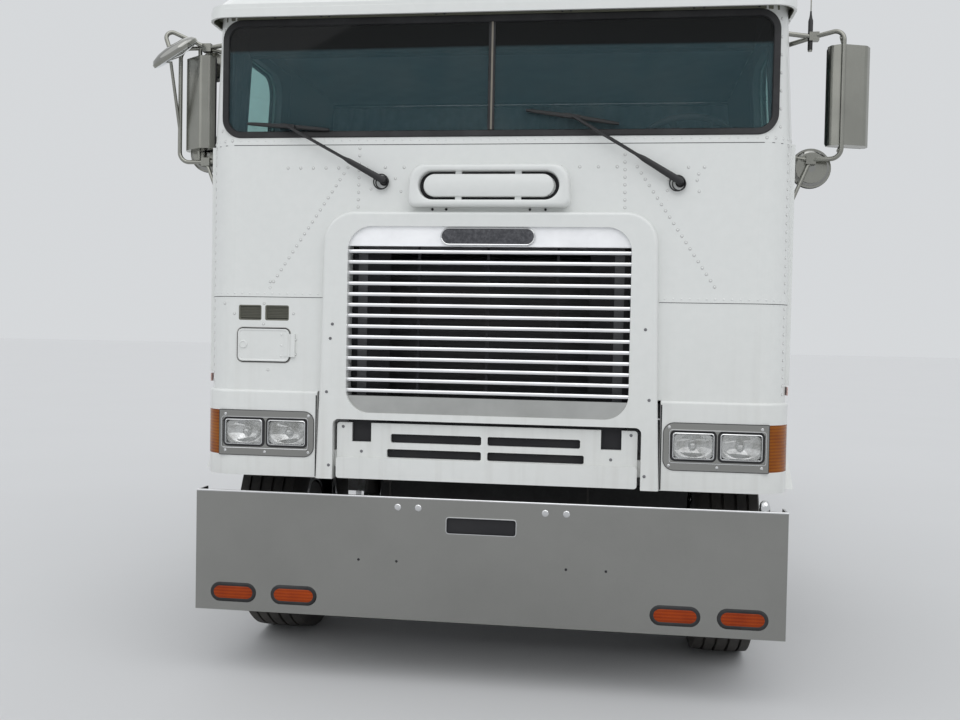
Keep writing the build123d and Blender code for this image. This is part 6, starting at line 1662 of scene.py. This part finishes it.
# Muffler: a perforated heat shield on its outer side, and three band clamps
STACK = (-0.900, FRONT_Y + 3.040)
SHIELD_R = 0.146
shield_u, shield_v = np.meshgrid(np.radians(np.linspace(62, 298, 61)), np.linspace(1.360, 2.390, 9))
points = np.stack([STACK[0] + SHIELD_R * np.cos(shield_u), STACK[1] + SHIELD_R * np.sin(shield_u), shield_v],
                  -1)
walled(piece("muffler_shield", points, quads(9, 61), CHROME, "chassis"), 0.002)
# The perforations are dark discs: painted shade.
holes_u, holes_v = np.meshgrid(np.radians(np.arange(74, 290, 8.0)), np.arange(1.410, 2.350, 0.034))
holes_u = holes_u + np.radians(4.0) * (np.arange(holes_v.shape[0]) % 2)[:, None]
outward = np.stack([np.cos(holes_u), np.sin(holes_u), 0 * holes_u], -1).reshape(-1, 3)
places = np.stack([STACK[0] + 0.1472 * np.cos(holes_u), STACK[1] + 0.1472 * np.sin(holes_u), holes_v], -1)
studs("shield_holes", mm((6.8, 0), (6.6, 0.7), (3, 0.7)), 8, places.reshape(-1, 3), outward, DARK_PART_AND_SHADE,
      body="chassis")


def clamp_band(name, radius, z, width):
    """Band clamp round the stack."""
    path, outward = arc((*STACK, z), radius, np.radians(np.linspace(0, 360, 49))[:-1])
    section = mirrored((-width / 2, -0.002), (-width / 2, 0.002), (-width / 6, 0.005))
    band(name, path, outward, section, CHROME, "chassis", closed=True)


for index, z in enumerate((1.345, 1.875, 2.405)):
    clamp_band(f"muffler_clamp_{index + 1}", 0.1485 if index == 1 else 0.131, z, 0.032)

# Floor, light and camera
FLOOR_SHADE = 0.62


def studio():
    """One wide pale floor, seen with the same pale background all round."""
    reach = 90.0
    points = [(-reach, -reach, 0.0), (reach, -reach, 0.0), (reach, reach, 0.0), (-reach, reach, 0.0)]
    mesh = bpy.data.meshes.new("studio_floor")
    mesh.from_pydata(points, [], [(0, 1, 2, 3)])
    floor = bpy.data.objects.new("studio_floor", mesh)
    bpy.context.scene.collection.objects.link(floor)
    paint = Finish("studio_pale", Roughness=0.9)
    cloud = paint.noise(0.6, 2.0)
    paint.set("Base Color", paint.mix((FLOOR_SHADE,) * 3, (FLOOR_SHADE - 0.02,) * 3, cloud))
    mesh.materials.append(paint.material)


def sky():
    """Even cool light, with a pale background for the camera, for metal and for glass."""
    world = bpy.data.worlds.new("sky")
    bpy.context.scene.world = world
    world.use_nodes = True
    tree = world.node_tree
    light = tree.nodes["Background"]
    seen = tree.nodes.new("ShaderNodeBackground")
    for shader, colour, strength in ((light, (0.88, 0.92, 0.97, 1.0), 0.60),
                                     (seen, (0.80, 0.82, 0.84, 1.0), 0.84)):
        shader.inputs["Color"].default_value = colour
        shader.inputs["Strength"].default_value = strength
    rays = tree.nodes.new("ShaderNodeLightPath")
    share = rays.outputs["Is Camera Ray"]
    for kind in ("Is Glossy Ray", "Is Transmission Ray"):
        either = tree.nodes.new("ShaderNodeMath")
        either.operation = "ADD"
        either.use_clamp = True
        tree.links.new(share, either.inputs[0])
        tree.links.new(rays.outputs[kind], either.inputs[1])
        share = either.outputs[0]
    mix = tree.nodes.new("ShaderNodeMixShader")
    for place, socket in enumerate((share, light.outputs[0], seen.outputs[0])):
        tree.links.new(socket, mix.inputs[place])
    tree.links.new(mix.outputs[0], tree.nodes["World Output"].inputs["Surface"])


def sun(name, aim, strength, spread):
    """Very soft far light from one side, which lights the whole floor alike."""
    light = bpy.data.lights.new(name, "SUN")
    light.energy = strength
    light.angle = math.radians(spread)
    holder = bpy.data.objects.new(name, light)
    holder.location = tuple(-4 * value for value in aim)
    holder.rotation_mode = "QUATERNION"
    holder.rotation_quaternion = Vector(aim).to_track_quat("-Z", "Y")
    bpy.context.scene.collection.objects.link(holder)


studio()
sky()
sun("front_left_light", (-0.45, 0.75, -1.1), 1.00, 70.0)
sun("front_right_light", (0.6, 0.7, -0.9), 0.52, 70.0)
sun("back_light", (0.1, -0.8, -1.2), 0.45, 70.0)


# The photograph's viewing angle: place, and pitch down, roll and turn to the right in degrees
CAMERA_AT = (0.515, -7.483, 1.465)
CAMERA_PITCH = math.radians(1.53)
CAMERA_ROLL = math.radians(1.08)
CAMERA_YAW = math.radians(-7.5)
CAMERA_LENS = 37.5


def camera():
    """Camera whose view axis, sideways and upward directions come from its three angles."""
    forward = Vector((math.sin(CAMERA_YAW) * math.cos(CAMERA_PITCH),
                      math.cos(CAMERA_YAW) * math.cos(CAMERA_PITCH), -math.sin(CAMERA_PITCH)))
    level = Vector((math.cos(CAMERA_YAW), -math.sin(CAMERA_YAW), 0.0))
    upright = level.cross(forward)
    across = math.cos(CAMERA_ROLL) * level + math.sin(CAMERA_ROLL) * upright
    upwards = -math.sin(CAMERA_ROLL) * level + math.cos(CAMERA_ROLL) * upright
    data = bpy.data.cameras.new("camera")
    data.lens = CAMERA_LENS
    data.sensor_width = 36.0
    data.sensor_fit = "HORIZONTAL"
    data.clip_end = 200.0
    holder = bpy.data.objects.new("camera", data)
    turned = Matrix((across, upwards, -forward)).transposed().to_4x4()
    holder.matrix_world = Matrix.Translation(CAMERA_AT) @ turned
    bpy.context.scene.collection.objects.link(holder)
    bpy.context.scene.camera = holder


camera()
bpy.context.scene.view_settings.view_transform = "Standard"
